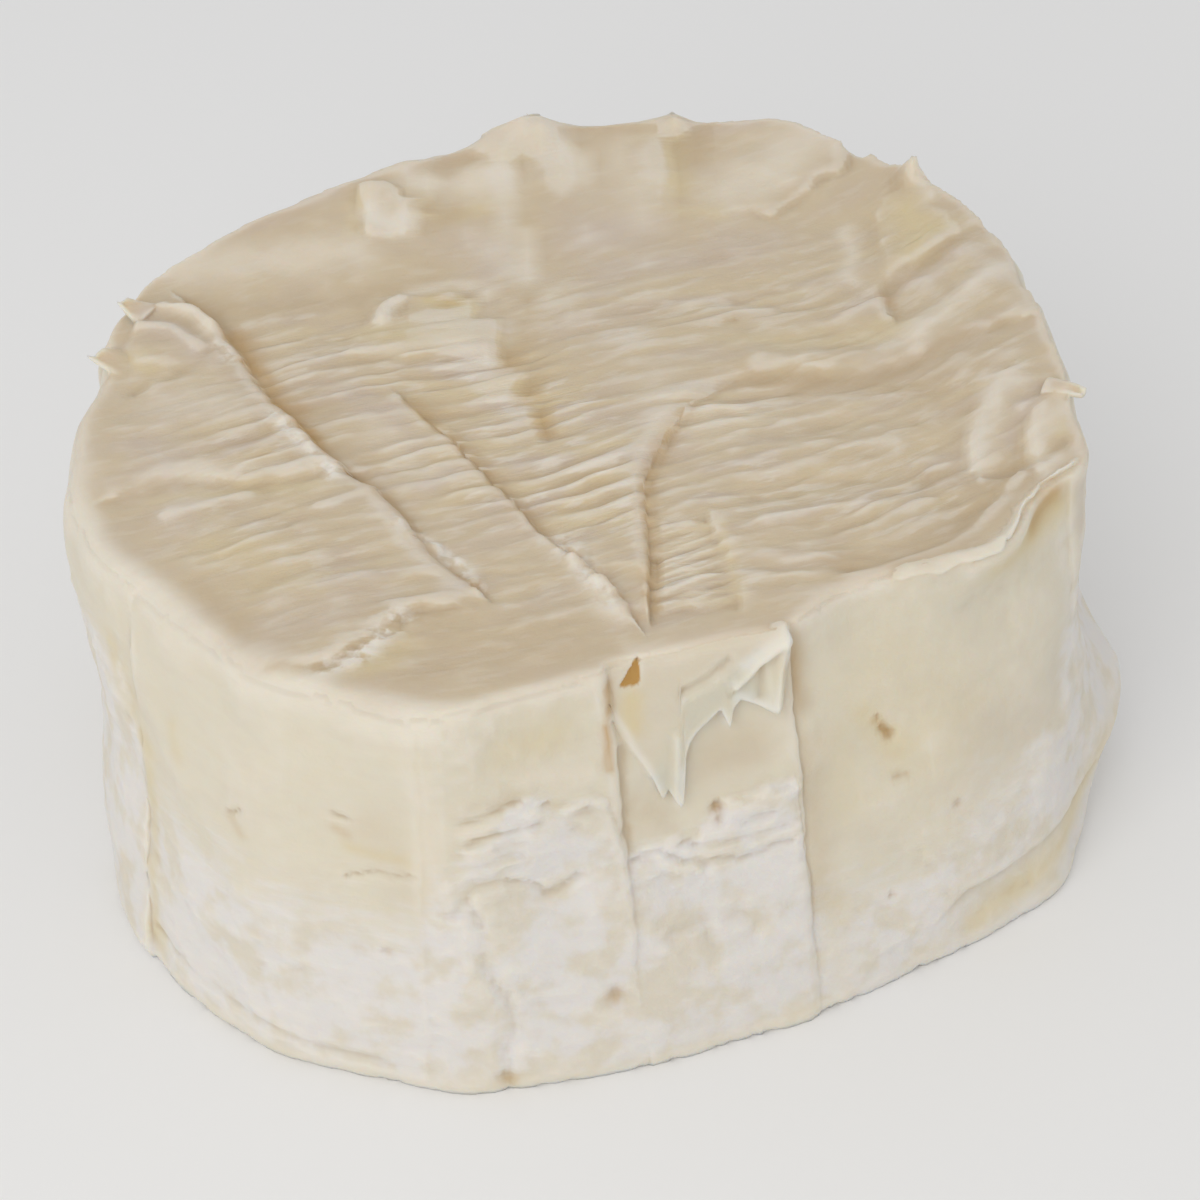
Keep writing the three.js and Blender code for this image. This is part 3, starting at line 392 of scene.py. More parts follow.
# azimuth, height, radius, depth
HOLES = [
    (-90.6, 8.2, 0.9, 0.6), (-102.2, 1.2, 0.9, 0.5), (-77.1, 23.2, 0.6, 0.8),
    (-77.3, 22.2, 0.35, 0.5), (-53.2, 24.6, 0.6, 0.5), (-54.0, 25.4, 0.5, 0.35),
    (-54.8, 26.7, 0.3, 0.3),
    (-52.8, 20.6, 0.5, 0.25), (-51.6, 20.4, 0.4, 0.2), (-45.5, 15.7, 0.5, 0.3),
    (-55.1, 9.3, 0.35, 0.35), (-113.5, 14.2, 0.4, 0.3), (70, 14, 0.8, 0.6),
    (140, 11, 0.7, 0.5), (8, 30, 0.6, 0.4),
]

# textures of the side: height, size around and upward in mm, seed
EDGE_RAG, EDGE_TEARS = (2.2, 5.0, 2.6, 3), (0.8, 1.6, 0.7, 11)
FELT, FELT_GRAIN = (0.2, 3.4, 2.0, 31), (0.05, 0.9, 0.55, 35)
PARED_MARKS, PARED_WAVES = (0.03, 6.0, 1.4, 41), (0.2, 5.0, 6.0, 44)
TORN_SPOTS, WRINKLES = (1.0, 2.6, 1.2, 51), (1.0, 3.6, 0.75, 57)
CRACK_WANDER = (0.25, 1.3, 1.3, 21)
WRINKLE_HEIGHT = 0.22
TORN_LOSS = 0.8  # share of the rind that is gone where it is torn


def rind_depth(azimuth, z):
    """Depth below the ragged edge of the rind, in widths of its worn border."""
    around = azimuth * ARC
    ragged = laid(rough, EDGE_RAG, around, z) + laid(rough, EDGE_TEARS, around, z)
    softness = read_around(RIND_EDGE, azimuth, 2)
    return (read_around(RIND_EDGE, azimuth, 1) - z + ragged) / softness


def run_distance(run, a, b):
    """Distance of points to a run of straight pieces."""
    nearest = np.full(np.shape(a), np.inf)
    for (a0, b0), (a1, b1) in zip(run[:-1], run[1:]):
        da, db = a1 - a0, b1 - b0
        share = np.clip(((a - a0) * da + (b - b0) * db) / (da * da + db * db), 0.0, 1.0)
        nearest = np.minimum(nearest, np.hypot(a - a0 - share * da, b - b0 - share * db))
    return nearest


def crack_depth(azimuth, z):
    """Depth of the cracks and holes of the side."""
    around = azimuth * ARC
    wander = laid(lumps, CRACK_WANDER, around, z)
    depth = np.zeros(np.shape(azimuth))
    for deep, half, run in CRACKS:
        away = run_distance(stretched(run, ARC), around + wander, z + wander)
        depth = depth + deep * bell(away, half)
    for middle, height, size, deep in HOLES:
        away = np.hypot(turn(middle, azimuth) * ARC + wander, z - height - 0.8 * wander)
        depth = depth + deep * bell(away, size)
    return depth


def side_relief(azimuth, z):
    """Everything fine that stands on or is cut into the side."""
    around = azimuth * ARC
    depth = rind_depth(azimuth, z)
    covered = smooth_step(-0.3, 0.5, depth)
    crisp = 1 / (0.6 + read_around(RIND_EDGE, azimuth, 2))
    felt = laid(rough, FELT, around, z) + laid(lumps, FELT_GRAIN, around, z)
    pared = laid(lumps, PARED_MARKS, around, z) + laid(rough, PARED_WAVES, around, z)
    torn = smooth_step(0.15, 0.5, laid(rough, TORN_SPOTS, around, z)) * bell(depth - 2, 4.0)
    fade = smooth_step(TOP_LEVEL + 1.5, TOP_LEVEL - 3.0, z)
    step = RIND_THICKNESS * crisp * (1 - TORN_LOSS * torn)
    wrinkles = WRINKLE_HEIGHT * crisp * laid(rough, WRINKLES, around, z) * bell(depth - 1.5, 3.5)
    relief = covered * (step + felt + wrinkles) + (1 - covered) * pared
    return fade * (relief - crack_depth(azimuth, z))


print(len(CRACKS), "cracks and", len(HOLES), "holes in the side")

# %% [markdown]
# ## The blank
#
# A cylinder primitive gives a closed round to start from. Its upright edges are subdivided
# into rings, and then every corner is moved out to the radius of the side. The columns are
# closer together at the front, and a tight pair stands at each seam, so the seam's lip is
# a crisp step.

# %% Columns and rings of the blank
SEAM_PAIR = 0.13  # half the angle between the two columns at a seam
FRONT_COLUMN = 0.56  # widest angle between columns at the front
BACK_COLUMN = 1.15
RING_STEP = 0.42
COLUMN_SWAY, COLUMN_RAG = (0.3, 3.0, 3.4, 61), (0.2, 1.0, 0.9, 63)  # degrees, size, seed
RINGS_OVER_THE_RIM = [39.6, 40.4, 41.4, 42.6, 44.2, 46.0, BLANK_HEIGHT]


def side_columns():
    """Azimuths of the columns, ending in a close pair at every seam."""
    azimuths = []
    stops = [seam[0] for seam in SIDE_SEAMS]
    for stop, following in zip(stops, stops[1:] + [stops[0] + 360.0]):
        middle = turn(0.0, 0.5 * (stop + following))
        widest = FRONT_COLUMN if -180.0 < middle < 5.0 else BACK_COLUMN
        pieces = math.ceil((following - stop) / widest)
        azimuths.extend(np.linspace(stop + SEAM_PAIR, following - SEAM_PAIR, pieces + 1))
    return np.array(azimuths)


columns = side_columns()
ring_heights = np.concatenate([
    np.linspace(0.0, TOP_LEVEL, round(TOP_LEVEL / RING_STEP) + 1),
    RINGS_OVER_THE_RIM,
])
print(len(columns), "columns and", len(ring_heights), "rings")

# %% Make the blank
bpy.ops.mesh.primitive_cylinder_add(
    vertices=len(columns), radius=1.0, depth=1.0, end_fill_type="NGON", location=(0, 0, 0)
)
wheel = bpy.context.object
wheel.name = "pared_cheese"
bpy.ops.object.mode_set(mode="EDIT")
bpy.ops.mesh.select_mode(type="EDGE")
bpy.ops.mesh.select_all(action="DESELECT")
bpy.ops.object.mode_set(mode="OBJECT")
for edge in wheel.data.edges:
    ends = [wheel.data.vertices[i].co.z for i in edge.vertices]
    edge.select = abs(ends[0] - ends[1]) > 0.5
bpy.ops.object.mode_set(mode="EDIT")
bpy.ops.mesh.subdivide(number_cuts=len(ring_heights) - 2)
bpy.ops.object.mode_set(mode="OBJECT")


def read_values(items, name, width=1, kind=float):
    """One property of all corners, edges or faces, with width numbers for each."""
    values = np.empty(width * len(items), kind)
    items.foreach_get(name, values)
    return values


def read_points(thing):
    return read_values(thing.data.vertices, "co", 3).reshape(-1, 3)


def write_points(thing, points):
    thing.data.vertices.foreach_set("co", np.asarray(points, float).ravel())
    thing.data.update()


plain = read_points(wheel)
plain_angle = azimuth_of(plain[:, 0], plain[:, 1])
column_of = np.round(plain_angle / (360.0 / len(columns))).astype(int) % len(columns)
ring_of = np.round((plain[:, 2] + 0.5) * (len(ring_heights) - 1)).astype(int)
z = ring_heights[ring_of]
azimuth = columns[column_of]
low_z = np.minimum(z, TOP_LEVEL)
lean = sum(seam[3] * bell(turn(seam[0], azimuth), SEAM_LEAN_REACH) for seam in SIDE_SEAMS)
azimuth = azimuth + lean * (1 - low_z / TOP_LEVEL)
radius = side_radius(azimuth, low_z) + side_relief(azimuth, z)
ragged = laid(lumps, COLUMN_SWAY, azimuth * ARC, z) + laid(lumps, COLUMN_RAG, azimuth, z)
swing = np.radians(azimuth + ragged)
write_points(wheel, to_metres(np.stack([radius * np.cos(swing), radius * np.sin(swing), z], 1)))
print("blank:", len(wheel.data.vertices), "corners")

# %% [markdown]
# ## The top: strokes that ran over each other
#
# Each stroke of the knife left a shallow lip where it ended on the one before. A lip is a
# line across the top with a raised side on its left and a hollow on its right, both fading
# away from it. The back of the top climbs to the rim from a crease, as flat facets. Soft
# folds and thin scraps of paste lie on all of it.

# %% Sizes of the top
TOP_TILT = 0.012
TOP_UNEVENNESS = 0.3
RIGHT_RISE = 1.0
BACK_CREASE_ROUNDING = 1.5
LINE_FADE = 3.0

# rise, its reach, drop, its reach, how soft the step is at its front and back ends, then
# the run of the line from front to back
TOP_LINES = {
    "leftStrip": (0.7, 8, 0.5, 3, 0.3, 0.35, [
        (-9.8, -27.4), (-13.5, -22.3), (-16, -16.6), (-18.5, -12.5), (-22, -8.1),
        (-24.7, -3.4), (-28, 2.1), (-29.9, 7.4), (-32.3, 12.4), (-35.6, 17.2)]),
    "middleStrip": (0.5, 6, 0.4, 3, 0.22, 0.5, [
        (2.5, -31.3), (0.9, -27.6), (-1.4, -24.1), (-4.2, -20.4), (-6.5, -16),
        (-9.4, -10.7), (-12.8, -4.5), (-15.8, 0.4)]),
    "longStep": (0.5, 6, 0.4, 4, 0.12, 0.8, [
        (3.9, -29.9), (4.1, -21.9), (4.2, -13.4), (5.7, -8.5), (8.5, -2.7), (13, 1.1),
        (18.3, 1.2), (23.4, 1), (28.4, 2.8), (33.2, 5.4), (37.6, 6.5)]),
    "shortSlit": (0.3, 3, 0.6, 1.2, 0.3, 0.4, [
        (-4.1, -5.6), (-5.3, 0.3), (-7, 5.6), (-8.4, 11.5), (-10.6, 16.3)]),
    "finePatch": (0.25, 4, 0.3, 4, 0.3, 0.3, [(9.3, -19.6), (10.2, -24.5), (10.7, -29.5)]),
    "shoulderGroove": (0.5, 4, 0.5, 1, 0.25, 0.25, [
        (-26.6, -35.2), (-24.4, -35.6), (-22.1, -35.6), (-19.9, -34.5), (-18, -33),
        (-16.1, -30.7), (-14.8, -29.8), (-12.6, -29.8)]),
    "rightGroove": (0.4, 2, 0.6, 4, 0.6, 0.6, [
        (34.2, -15), (31.5, -19.8), (29.1, -23), (26.5, -24.8), (21, -27)]),
    "leftFold": (0.4, 5, 0.4, 3, 0.6, 0.3, [
        (-39.3, -11.6), (-36.4, -10.4), (-33.4, -10), (-29.2, -10.8), (-24.6, -10.6),
        (-20.6, -9.9)]),
    "rightFold": (0.2, 4, 0.3, 4, 1.2, 1.2, [
        (13.6, 9.7), (17, 7.8), (21.3, 8), (25, 9.8), (29.6, 11.8), (34.6, 16.2),
        (37, 18.4)]),
    "backStep": (0.3, 4, 0.5, 3, 0.5, 0.5, [
        (26.8, 9.8), (26.6, 14.3), (30.2, 17.2), (33.8, 20.3), (37, 22.6)]),
    "firstCurl": (0.5, 3.6, 0.3, 1.5, 0.9, 0.5, [
        (35.3, -1.5), (33.4, -4), (31.7, -7.9), (31.1, -11.3), (31.2, -13.7)]),
    "secondCurl": (0.45, 2.8, 0.4, 2.2, 0.5, 0.5, [
        (41.5, -2.6), (39, -4.9), (37.1, -7), (36.1, -10.7), (36.1, -13.9)]),
}

# x, y of the crease where the back starts to climb to the rim
BACK_CREASE = [(-48, 17), (-20, 18), (-6, 20), (6, 24), (14, 26), (26, 25), (36, 22)]

# x where a facet of the back starts, its slope, its slope sideways
BACK_FACETS = [
    (-60, 0.25, 0), (-19.5, 0.265, 0), (-13.5, 0.235, 0.008), (-5.6, 0.23, 0),
    (8.3, 0.177, 0), (24.5, 0.17, 0), (36, 0.1, 0),
]
FACET_EDGE = 0.45
FACET_WANDER = 0.5

# raised scraps: lift, extra height per mm of x and y, then the corners, counterclockwise
SCRAPS = {
    "right plate": (0.3, 0.045, 0, [
        (9.8, 30), (12.6, 27.4), (17.7, 26.8), (25.4, 33.2), (25, 43), (9, 44)]),
    "white flap": (0.5, -0.04, 0.03, [
        (-20.3, 31.2), (-19, 24.4), (-15.6, 24.2), (-13.4, 27.2), (-17, 30)]),
    "yellow corner": (0.2, 0, 0, [(27, 14.2), (34, 20.6), (31.8, 29), (27.4, 28)]),
    "fine patch": (0.3, 0, 0, [(4.4, -31), (10.9, -29.5), (9.5, -19.8), (4.8, -18.8)]),
    "slit plate": (0.35, 0.03, -0.03, [
        (-21, 7.6), (-7.2, 5.4), (-8.4, 11.7), (-11.2, 16.8), (-19, 15.5)]),
    "left plate": (0.35, 0, 0.03, [
        (-40.5, 7.4), (-34.6, 6.6), (-31.6, 11.4), (-33.6, 15.2), (-40, 16)]),
    "back bit": (0.9, -0.1, 0.08, [(-9.6, 34.5), (-5.6, 33.8), (-5.4, 43), (-9.8, 43)]),
}
SCRAP_EDGE = 0.35
SCRAP_RAG = (0.5, 1.6, 1.6, 67)  # height, size, seed of its ragged outline

# soft folds: height, half width, run
TOP_FOLDS = [
    (0.5, 1.5, [
        (14.9, 3.1), (20.1, 3), (24.4, 3.3), (27.6, 4.1), (31, 8), (34.9, 12.3), (37, 14)]),
    (-0.25, 1.1, [(13.8, 13.2), (17.1, 12), (20.5, 11.7), (25.2, 14.6)]),
    (-0.3, 1, [(14, -7.4), (20, -6.2), (27, -6.6)]),
    (0.35, 1.2, [(12, -10.2), (18, -9.6), (25, -9.8)]),
    (-0.35, 1.1, [(13, -16.2), (19.5, -14.6), (27, -14.2)]),
    (0.3, 1.2, [(14, -20), (20, -18.6), (27, -18.4)]),
    (-0.5, 0.7, [(32.2, -14.2), (34.4, -13.9), (37, -12.7), (39.3, -10.9)]),
    (0.8, 0.9, [(-37.6, 15.6), (-34.6, 14.2), (-32.9, 12.2)]),
    (0.5, 0.8, [(-39.5, 12.5), (-36.6, 12), (-34.2, 9.4)]),
    (-0.4, 0.9, [(-39.4, 3.6), (-38, 5.4), (-36.3, 5.5), (-34.5, 6.6)]),
    (0.7, 0.7, [(-18.1, 12.8), (-17.6, 14.8), (-16.4, 16.2)]),
    (-0.35, 0.8, [(-12.9, 15.2), (-11, 14)]),
    (3.3, 1.4, [(-5.9, 42.5), (-4.9, 40.6), (-3.8, 36)]),
    (0.6, 1.6, [(-1.8, 40), (-1.2, 36), (-1.6, 32)]),
    (2.1, 0.9, [(8.4, 43), (9.4, 39)]),
    (2.3, 1.1, [(31.6, 33.6), (31, 29.8)]),
    (0.5, 1, [(-35.2, -14.9), (-32.1, -13.6), (-28.6, -12.8)]),
    (0.35, 0.6, [(-22.6, -15.2), (-20.3, -14.4), (-18.2, -13.4)]),
    (0.45, 0.8, [(36.4, -6.4), (38.4, -5), (40.2, -4.3)]),
]


def smooth_run(run):
    """Short straight pieces along a smooth curve through the points of a run."""
    points = np.array(run, float)
    last = len(points) - 1
    place = np.linspace(0, last, 3 * len(points) + 1)
    i = np.minimum(place.astype(int), last - 1)
    t = (place - i)[:, None]
    before, here = points[np.maximum(i - 1, 0)], points[i]
    ahead, beyond = points[i + 1], points[np.minimum(i + 2, last)]
    leave, arrive = 0.5 * (ahead - before), 0.5 * (beyond - here)
    cubic = 2 * here - 2 * ahead + leave + arrive
    return cubic * t**3 + (3 * ahead - 3 * here - 2 * leave - arrive) * t**2 + leave * t + here


def side_of_line(pieces, x, y):
    """Distance to a line, whether the point is on its left, how far past its ends it is,
    and how far along the line."""
    nearest = np.full(np.shape(x), np.inf)
    on_left = np.zeros(np.shape(x), bool)
    overrun = np.zeros(np.shape(x))
    progress = np.zeros(np.shape(x))
    last = len(pieces) - 2
    for i, (a, b) in enumerate(zip(pieces[:-1], pieces[1:])):
        dx, dy = b - a
        length = math.hypot(dx, dy)
        along = ((x - a[0]) * dx + (y - a[1]) * dy) / length**2
        share = np.clip(along, 0.0, 1.0)
        away = np.hypot(x - a[0] - share * dx, y - a[1] - share * dy)
        closer = away < nearest
        nearest = np.where(closer, away, nearest)
        on_left = np.where(closer, dx * (y - a[1]) - dy * (x - a[0]) > 0, on_left)
        past = ((i == 0) & (along < 0)) | ((i == last) & (along > 1))
        overrun = np.where(closer, np.where(past, np.abs(along - share) * length, 0.0), overrun)
        progress = np.where(closer, (i + share) / (last + 1), progress)
    return nearest, on_left, overrun, progress


smooth_lines = {name: smooth_run(line[6]) for name, line in TOP_LINES.items()}


def inside_scrap(corners, x, y):
    """Distance to the nearest side of a scrap, positive inside it."""
    depth = np.full(np.shape(x), np.inf)
    for (x0, y0), (x1, y1) in zip(corners, corners[1:] + corners[:1]):
        reach = ((x1 - x0) * (y - y0) - (y1 - y0) * (x - x0)) / math.hypot(x1 - x0, y1 - y0)
        depth = np.minimum(depth, reach)
    return depth


def back_rise(x, y):
    """Height of the facets that climb to the back rim."""
    past = y - read_along(BACK_CREASE, x, 1)
    eased = 0.5 * (past + np.hypot(past, BACK_CREASE_ROUNDING))
    wander = x + FACET_WANDER * lumps(y / 3.0, 0.0, 65)
    ends = [facet[0] for facet in BACK_FACETS[1:]] + [-BACK_FACETS[0][0]]
    slope = 0.0
    for (start, climb, sideways), end in zip(BACK_FACETS, ends):
        inside = smooth_step(start - FACET_EDGE, start + FACET_EDGE, wander)
        inside = inside - smooth_step(end - FACET_EDGE, end + FACET_EDGE, wander)
        slope = slope + inside * (climb + sideways * (x - 0.5 * (start + end)))
    return eased * slope


def top_height(x, y):
    """Height of the pared top without its ridges."""
    height = TOP_LEVEL + TOP_TILT * y + TOP_UNEVENNESS * swell(0.8 * x, 0.8 * y)
    height = height + back_rise(x, y)
    height = height + RIGHT_RISE * smooth_step(24, 38, x) * smooth_step(-14, 2, y)
    for name, (rise, rise_reach, drop, drop_reach, front, back_end, _) in TOP_LINES.items():
        away, on_left, overrun, progress = side_of_line(smooth_lines[name], x, y)
        fade = 1 - smooth_step(0, LINE_FADE, overrun)
        softness = front + (back_end - front) * progress
        share = 0.5 + 0.5 * np.tanh(np.where(on_left, away, -away) / softness)
        lip = rise * np.exp(-away / rise_reach)
        hollow = -drop * np.exp(-away / drop_reach)
        height = height + fade * (share * lip + (1 - share) * hollow)
    ragged = laid(lumps, SCRAP_RAG, x, y)
    for lift, per_x, per_y, corners in SCRAPS.values():
        middle_x, middle_y = np.mean(corners, axis=0)
        plane = lift + per_x * (x - middle_x) + per_y * (y - middle_y)
        depth = inside_scrap(corners, x, y) + ragged
        height = height + plane * smooth_step(-SCRAP_EDGE, SCRAP_EDGE, depth)
    for fold, half, run in TOP_FOLDS:
        height = height + fold * bell(run_distance(run, x + 0.5 * ragged, y), half)
    return height


print("top at its middle:", round(float(top_height(np.array(0.0), np.array(0.0))), 1), "mm")

# %% [markdown]
# ## Chatter ridges
#
# A blade dragged flat through soft paste sticks and slips, and leaves fine ridges across
# its path, about 2 mm apart, with rounded crests. The knife that pares the top is made as a
# sheet with those ridges in its rows. Its columns follow the three long lips, so each lip
# is a clean edge.

# %% Rows and columns of the knife sheet
CUTTER_HEIGHT = 60.0
CUTTER_REACH = 54.0
RIDGE_SPACING = (1.7, 2.6)
RIDGE_HEIGHT = 0.27
RIDGE_PROFILE = [  # share of the spacing, share of the height
    (0.0, -1.0), (0.18, -0.75), (0.36, -0.05), (0.52, 0.65), (0.68, 1.0), (0.85, 0.35),
]
RIDGE_COLUMN = 0.58
STEP_GAP = 0.07
RIDGE_WAVE = 0.35
RIDGE_RANGE = (-66, 62)
STROKE_WIDTHS = (30, 17, 9, 48)
STROKE_SHIFTS = (-0.9, 0.8, -0.7)
SHIFT_FADE = 5.0
LIP_PHASES = (1.7, 2.3, 1.1)  # moves the patterns on from stroke to stroke
LONG_LIPS = [
    np.array(TOP_LINES["leftStrip"][6]),
    np.array(TOP_LINES["middleStrip"][6]),
    np.array(TOP_LINES["longStep"][6][:6]),
]
stroke_pieces = [math.ceil(width / RIDGE_COLUMN) for width in STROKE_WIDTHS]

# how strong the ridges are: strength, half width, run
RIDGED_PLACES = [
    (1, 5, [(-9, 1), (-2, -8), (0, -16)]), (0.7, 4, [(-14, -7), (-9, -15)]),
    (0.8, 3, [(7, -6), (12, -5)]), (0.9, 3, [(7, -23), (7.5, -27)]),
    (0.7, 5, [(-28, -6), (-24, 4), (-20, 1)]), (0.5, 4, [(-26, 12), (-16, 3)]),
    (0.55, 6, [(12, -14), (28, -16)]), (0.45, 5, [(-30, -16), (-20, -22)]),
    (0.35, 6, [(2, 12), (22, 8)]),
]


def ridge_climb(x):
    """Ridges climb to the right, and more steeply on the right half."""
    return 0.25 * x + 0.0062 * np.maximum(0, x - 4) ** 2 + 0.55 * np.sin(0.21 * x)


def past_lips(stroke, y, amounts):
    """Sum of an amount for each lip on the left of a stroke, faded at the ends of the lip."""
    total = np.zeros(np.shape(y))
    for i, run in enumerate(LONG_LIPS):
        from_front = smooth_step(0, SHIFT_FADE, y - run[0, 1])
        from_back = smooth_step(0, SHIFT_FADE, run[-1, 1] - y)
        total = total + np.where(stroke > i, amounts[i], 0) * np.minimum(from_front, from_back)
    return total


def ridge_shift(stroke, y):
    """How far the ridges of one stroke are shifted at a given y."""
    return past_lips(stroke, y, STROKE_SHIFTS)


def inside_rim(x, y):
    """Distance from a point of the top to the rim where its roll starts."""
    azimuth = azimuth_of(x, y)
    return eased_radius(azimuth, 1) - read_around(RIM_ROLL, azimuth, 1) - np.hypot(x, y)


def ridge_strength(x, y):
    """Ridges are strong in the middle and gone on the back facets and the shoulder."""
    strength = 0.15
    for strong, half, run in RIDGED_PLACES:
        strength = np.maximum(strength, strong * bell(run_distance(run, x, y), 1.3 * half))
    past = y - read_along(BACK_CREASE, x, 1)
    crest = 1 - smooth_step(-4, 1, past)
    return crest * smooth_step(0, 5, inside_rim(x, y)) * strength * (0.85 + 0.3 * swell(2 * y, x))


def knife_rows():
    """Distance across the ridges, height share and number of the ridge, row by row."""
    random = random_source(7)
    rows = []
    start, number = RIDGE_RANGE[0], 0
    while start < RIDGE_RANGE[1]:
        spacing = RIDGE_SPACING[0] + (RIDGE_SPACING[1] - RIDGE_SPACING[0]) * next(random)
        size = 0.7 + 0.5 * sum(next(random) for _ in range(3)) / 3
        rows.extend((start + share * spacing, size * rise, number) for share, rise in RIDGE_PROFILE)
        start += spacing
        number += 1
    return np.array(rows)


def knife_column(index, y):
    """x of one column of the knife sheet at y, and the stroke it belongs to."""
    stops = [np.full(np.shape(y), -CUTTER_REACH)]
    stops += [np.interp(y, run[:, 1], run[:, 0]) for run in LONG_LIPS]
    stops += [np.full(np.shape(y), CUTTER_REACH)]
    first = 0
    for stroke, pieces in enumerate(stroke_pieces):
        if index <= first + pieces:
            start = stops[stroke] + (STEP_GAP if stroke > 0 else 0)
            end = stops[stroke + 1] - (STEP_GAP if stroke + 2 < len(stops) else 0)
            return start + (end - start) * (index - first) / pieces, stroke
        first += pieces + 1
    raise ValueError("no such column")


rows = knife_rows()
column_count = sum(stroke_pieces) + len(stroke_pieces)
print(len(rows), "rows and", column_count, "columns,", int(rows[-1, 2]) + 1, "ridges")

# %% [markdown]
# ## A sheet with thickness
#
# The knife sheet and every flake are the same kind of thing: a grid with an under side and
# an upper side, closed around its edge. A grid primitive is extruded upward once, which
# closes it, and then its corners are moved to the two sides.

# %% Closed sheet from a grid
def closed_sheet(name, under, upper):
    """A closed object from two grids of points, rows by columns, in mm."""
    row_count, columns_here = under.shape[:2]
    bpy.ops.object.select_all(action="DESELECT")
    bpy.ops.mesh.primitive_grid_add(
        x_subdivisions=columns_here - 1, y_subdivisions=row_count - 1, size=2.0, location=(0, 0, 0)
    )
    sheet = bpy.context.object
    sheet.name = name
    bpy.ops.object.mode_set(mode="EDIT")
    bpy.ops.mesh.select_all(action="SELECT")
    bpy.ops.mesh.extrude_region_move(TRANSFORM_OT_translate={"value": (0, 0, 1)})
    bpy.ops.object.mode_set(mode="OBJECT")
    flat = read_points(sheet)
    column = np.round((flat[:, 0] + 1) / 2 * (columns_here - 1)).astype(int)
    row = np.round((flat[:, 1] + 1) / 2 * (row_count - 1)).astype(int)
    top_side = flat[:, 2] > 0.5
    points = np.where(top_side[:, None], upper[row, column], under[row, column])
    write_points(sheet, to_metres(points))
    bpy.ops.object.mode_set(mode="EDIT")
    bpy.ops.mesh.select_all(action="SELECT")
    bpy.ops.mesh.normals_make_consistent(inside=False)
    bpy.ops.object.mode_set(mode="OBJECT")
    return sheet


# %% Shape the knife sheet
FOLD_HEIGHT = 0.3
TORN_HEIGHT = 0.9
FINE_HEIGHT, FINE_WAVES = 0.13, 6.0
TEAR_X, TEAR_Y = 0.22, 0.15  # how far torn spots are pulled sideways
DRAG = (0.05, 5.0, 0.8, 75)
SOFT_LUMPS, SOFT_GRAIN = (0.2, 5.0, 4.0, 79), (0.07, 1.8, 1.4, 80)

# torn, crumbly places: half width, run
CRUMBLY = [
    (1.1, [(-3.4, -21), (-1.8, -23.4), (-0.5, -26.2), (1.2, -29.6)]),
    (0.9, [(-15.6, -18.3), (-13.5, -20.7), (-11, -24.4), (-9.9, -27)]),
    (0.9, [(-21.6, -36.2), (-19.8, -35.5), (-18.2, -34.2), (-16.6, -32.2), (-15.3, -30.6)]),
    (0.9, [(-31.6, 9.4), (-30.8, 7.6)]),
    (0.8, [(-27, -2), (-24.4, -6), (-22.8, -8.4), (-21.6, -11)]),
]


def crumbly_share(x, y):
    """1 in the middle of a crumbly place, 0 away from it."""
    share = np.zeros(np.shape(x))
    for half, run in CRUMBLY:
        share = np.maximum(share, bell(run_distance(run, x, y), half))
    return share


under = np.zeros((len(rows), column_count, 3))
across, number = rows[:, 0], rows[:, 2]
for index in range(column_count):
    y = across.copy()
    for _ in range(4):
        x, stroke = knife_column(index, y)
        y = across + ridge_climb(x) + ridge_shift(stroke, y)
    along = x + 0.3 * y
    own = past_lips(stroke, y, LIP_PHASES)
    y = y + RIDGE_WAVE * swell(2.2 * x, 1.4 * across) + 0.22 * lumps(along / 4.0, number * 3.7, 71)
    ridge = rows[:, 1] * (0.8 + 0.6 * lumps(along / 5.0 + own, number * 2.3, 73))
    inner = smooth_step(0.0, 4.0, inside_rim(x, y))
    strength = ridge_strength(x, y)
    bare = smooth_step(1, -4, y - read_along(BACK_CREASE, x, 1))
    fold = FOLD_HEIGHT * rough(along / 13.0 + own, across / 2.6, 78) * (0.25 + 0.75 * bare)
    drag = laid(lumps, DRAG, along, across) * strength
    in_patch = smooth_step(0, 1, inside_scrap(SCRAPS["fine patch"][3], x, y))
    fine = FINE_HEIGHT * np.sin(FINE_WAVES * (across - 0.15 * x)) * in_patch
    soft = laid(rough, SOFT_LUMPS, x, y) + laid(rough, SOFT_GRAIN, x, y)
    torn = TORN_HEIGHT * np.maximum(0.0, rough(x / 1.2, y / 1.0, 82) + 0.25) * crumbly_share(x, y)
    z = top_height(x, y) + RIDGE_HEIGHT * ridge * strength
    z = z + inner * (fold + drag + fine + soft) + torn
    tear_x = inner * TEAR_X * lumps(x / 2.3, y / 2.1, 81)
    tear_y = inner * TEAR_Y * lumps(x / 1.6, y / 1.4, 85)
    under[:, index] = np.stack([x + tear_x, y + tear_y, z], 1)

lid = under.copy()
lid[:, :, 2] = CUTTER_HEIGHT
knife = closed_sheet("knife_sheet", under, lid)
print("knife sheet:", len(knife.data.vertices), "corners")

# %% [markdown]
# ## Cutting and joining
#
# The Boolean modifier with the Manifold solver is quick and keeps closed solids closed.
# Each face remembers the material of the solid it came from, which later tells the pared
# top, the side and the flakes apart.

# %% Cut the top
SIDE_FACES, TOP_FACES, SKIN_FACES, HOLE_FACES, LIP_FACES = range(5)
marks = [bpy.data.materials.new(f"{name} mark") for name in ("side", "top", "skin", "hole", "lip")]


def mark_faces(thing, mark):
    """Gives a solid its own mark, in the slot of that number."""
    thing.data.materials.clear()
    for material in marks:
        thing.data.materials.append(material)
    thing.data.polygons.foreach_set("material_index", [mark] * len(thing.data.polygons))


def select_only(thing):
    bpy.ops.object.select_all(action="DESELECT")
    bpy.context.view_layer.objects.active = thing
    thing.select_set(True)


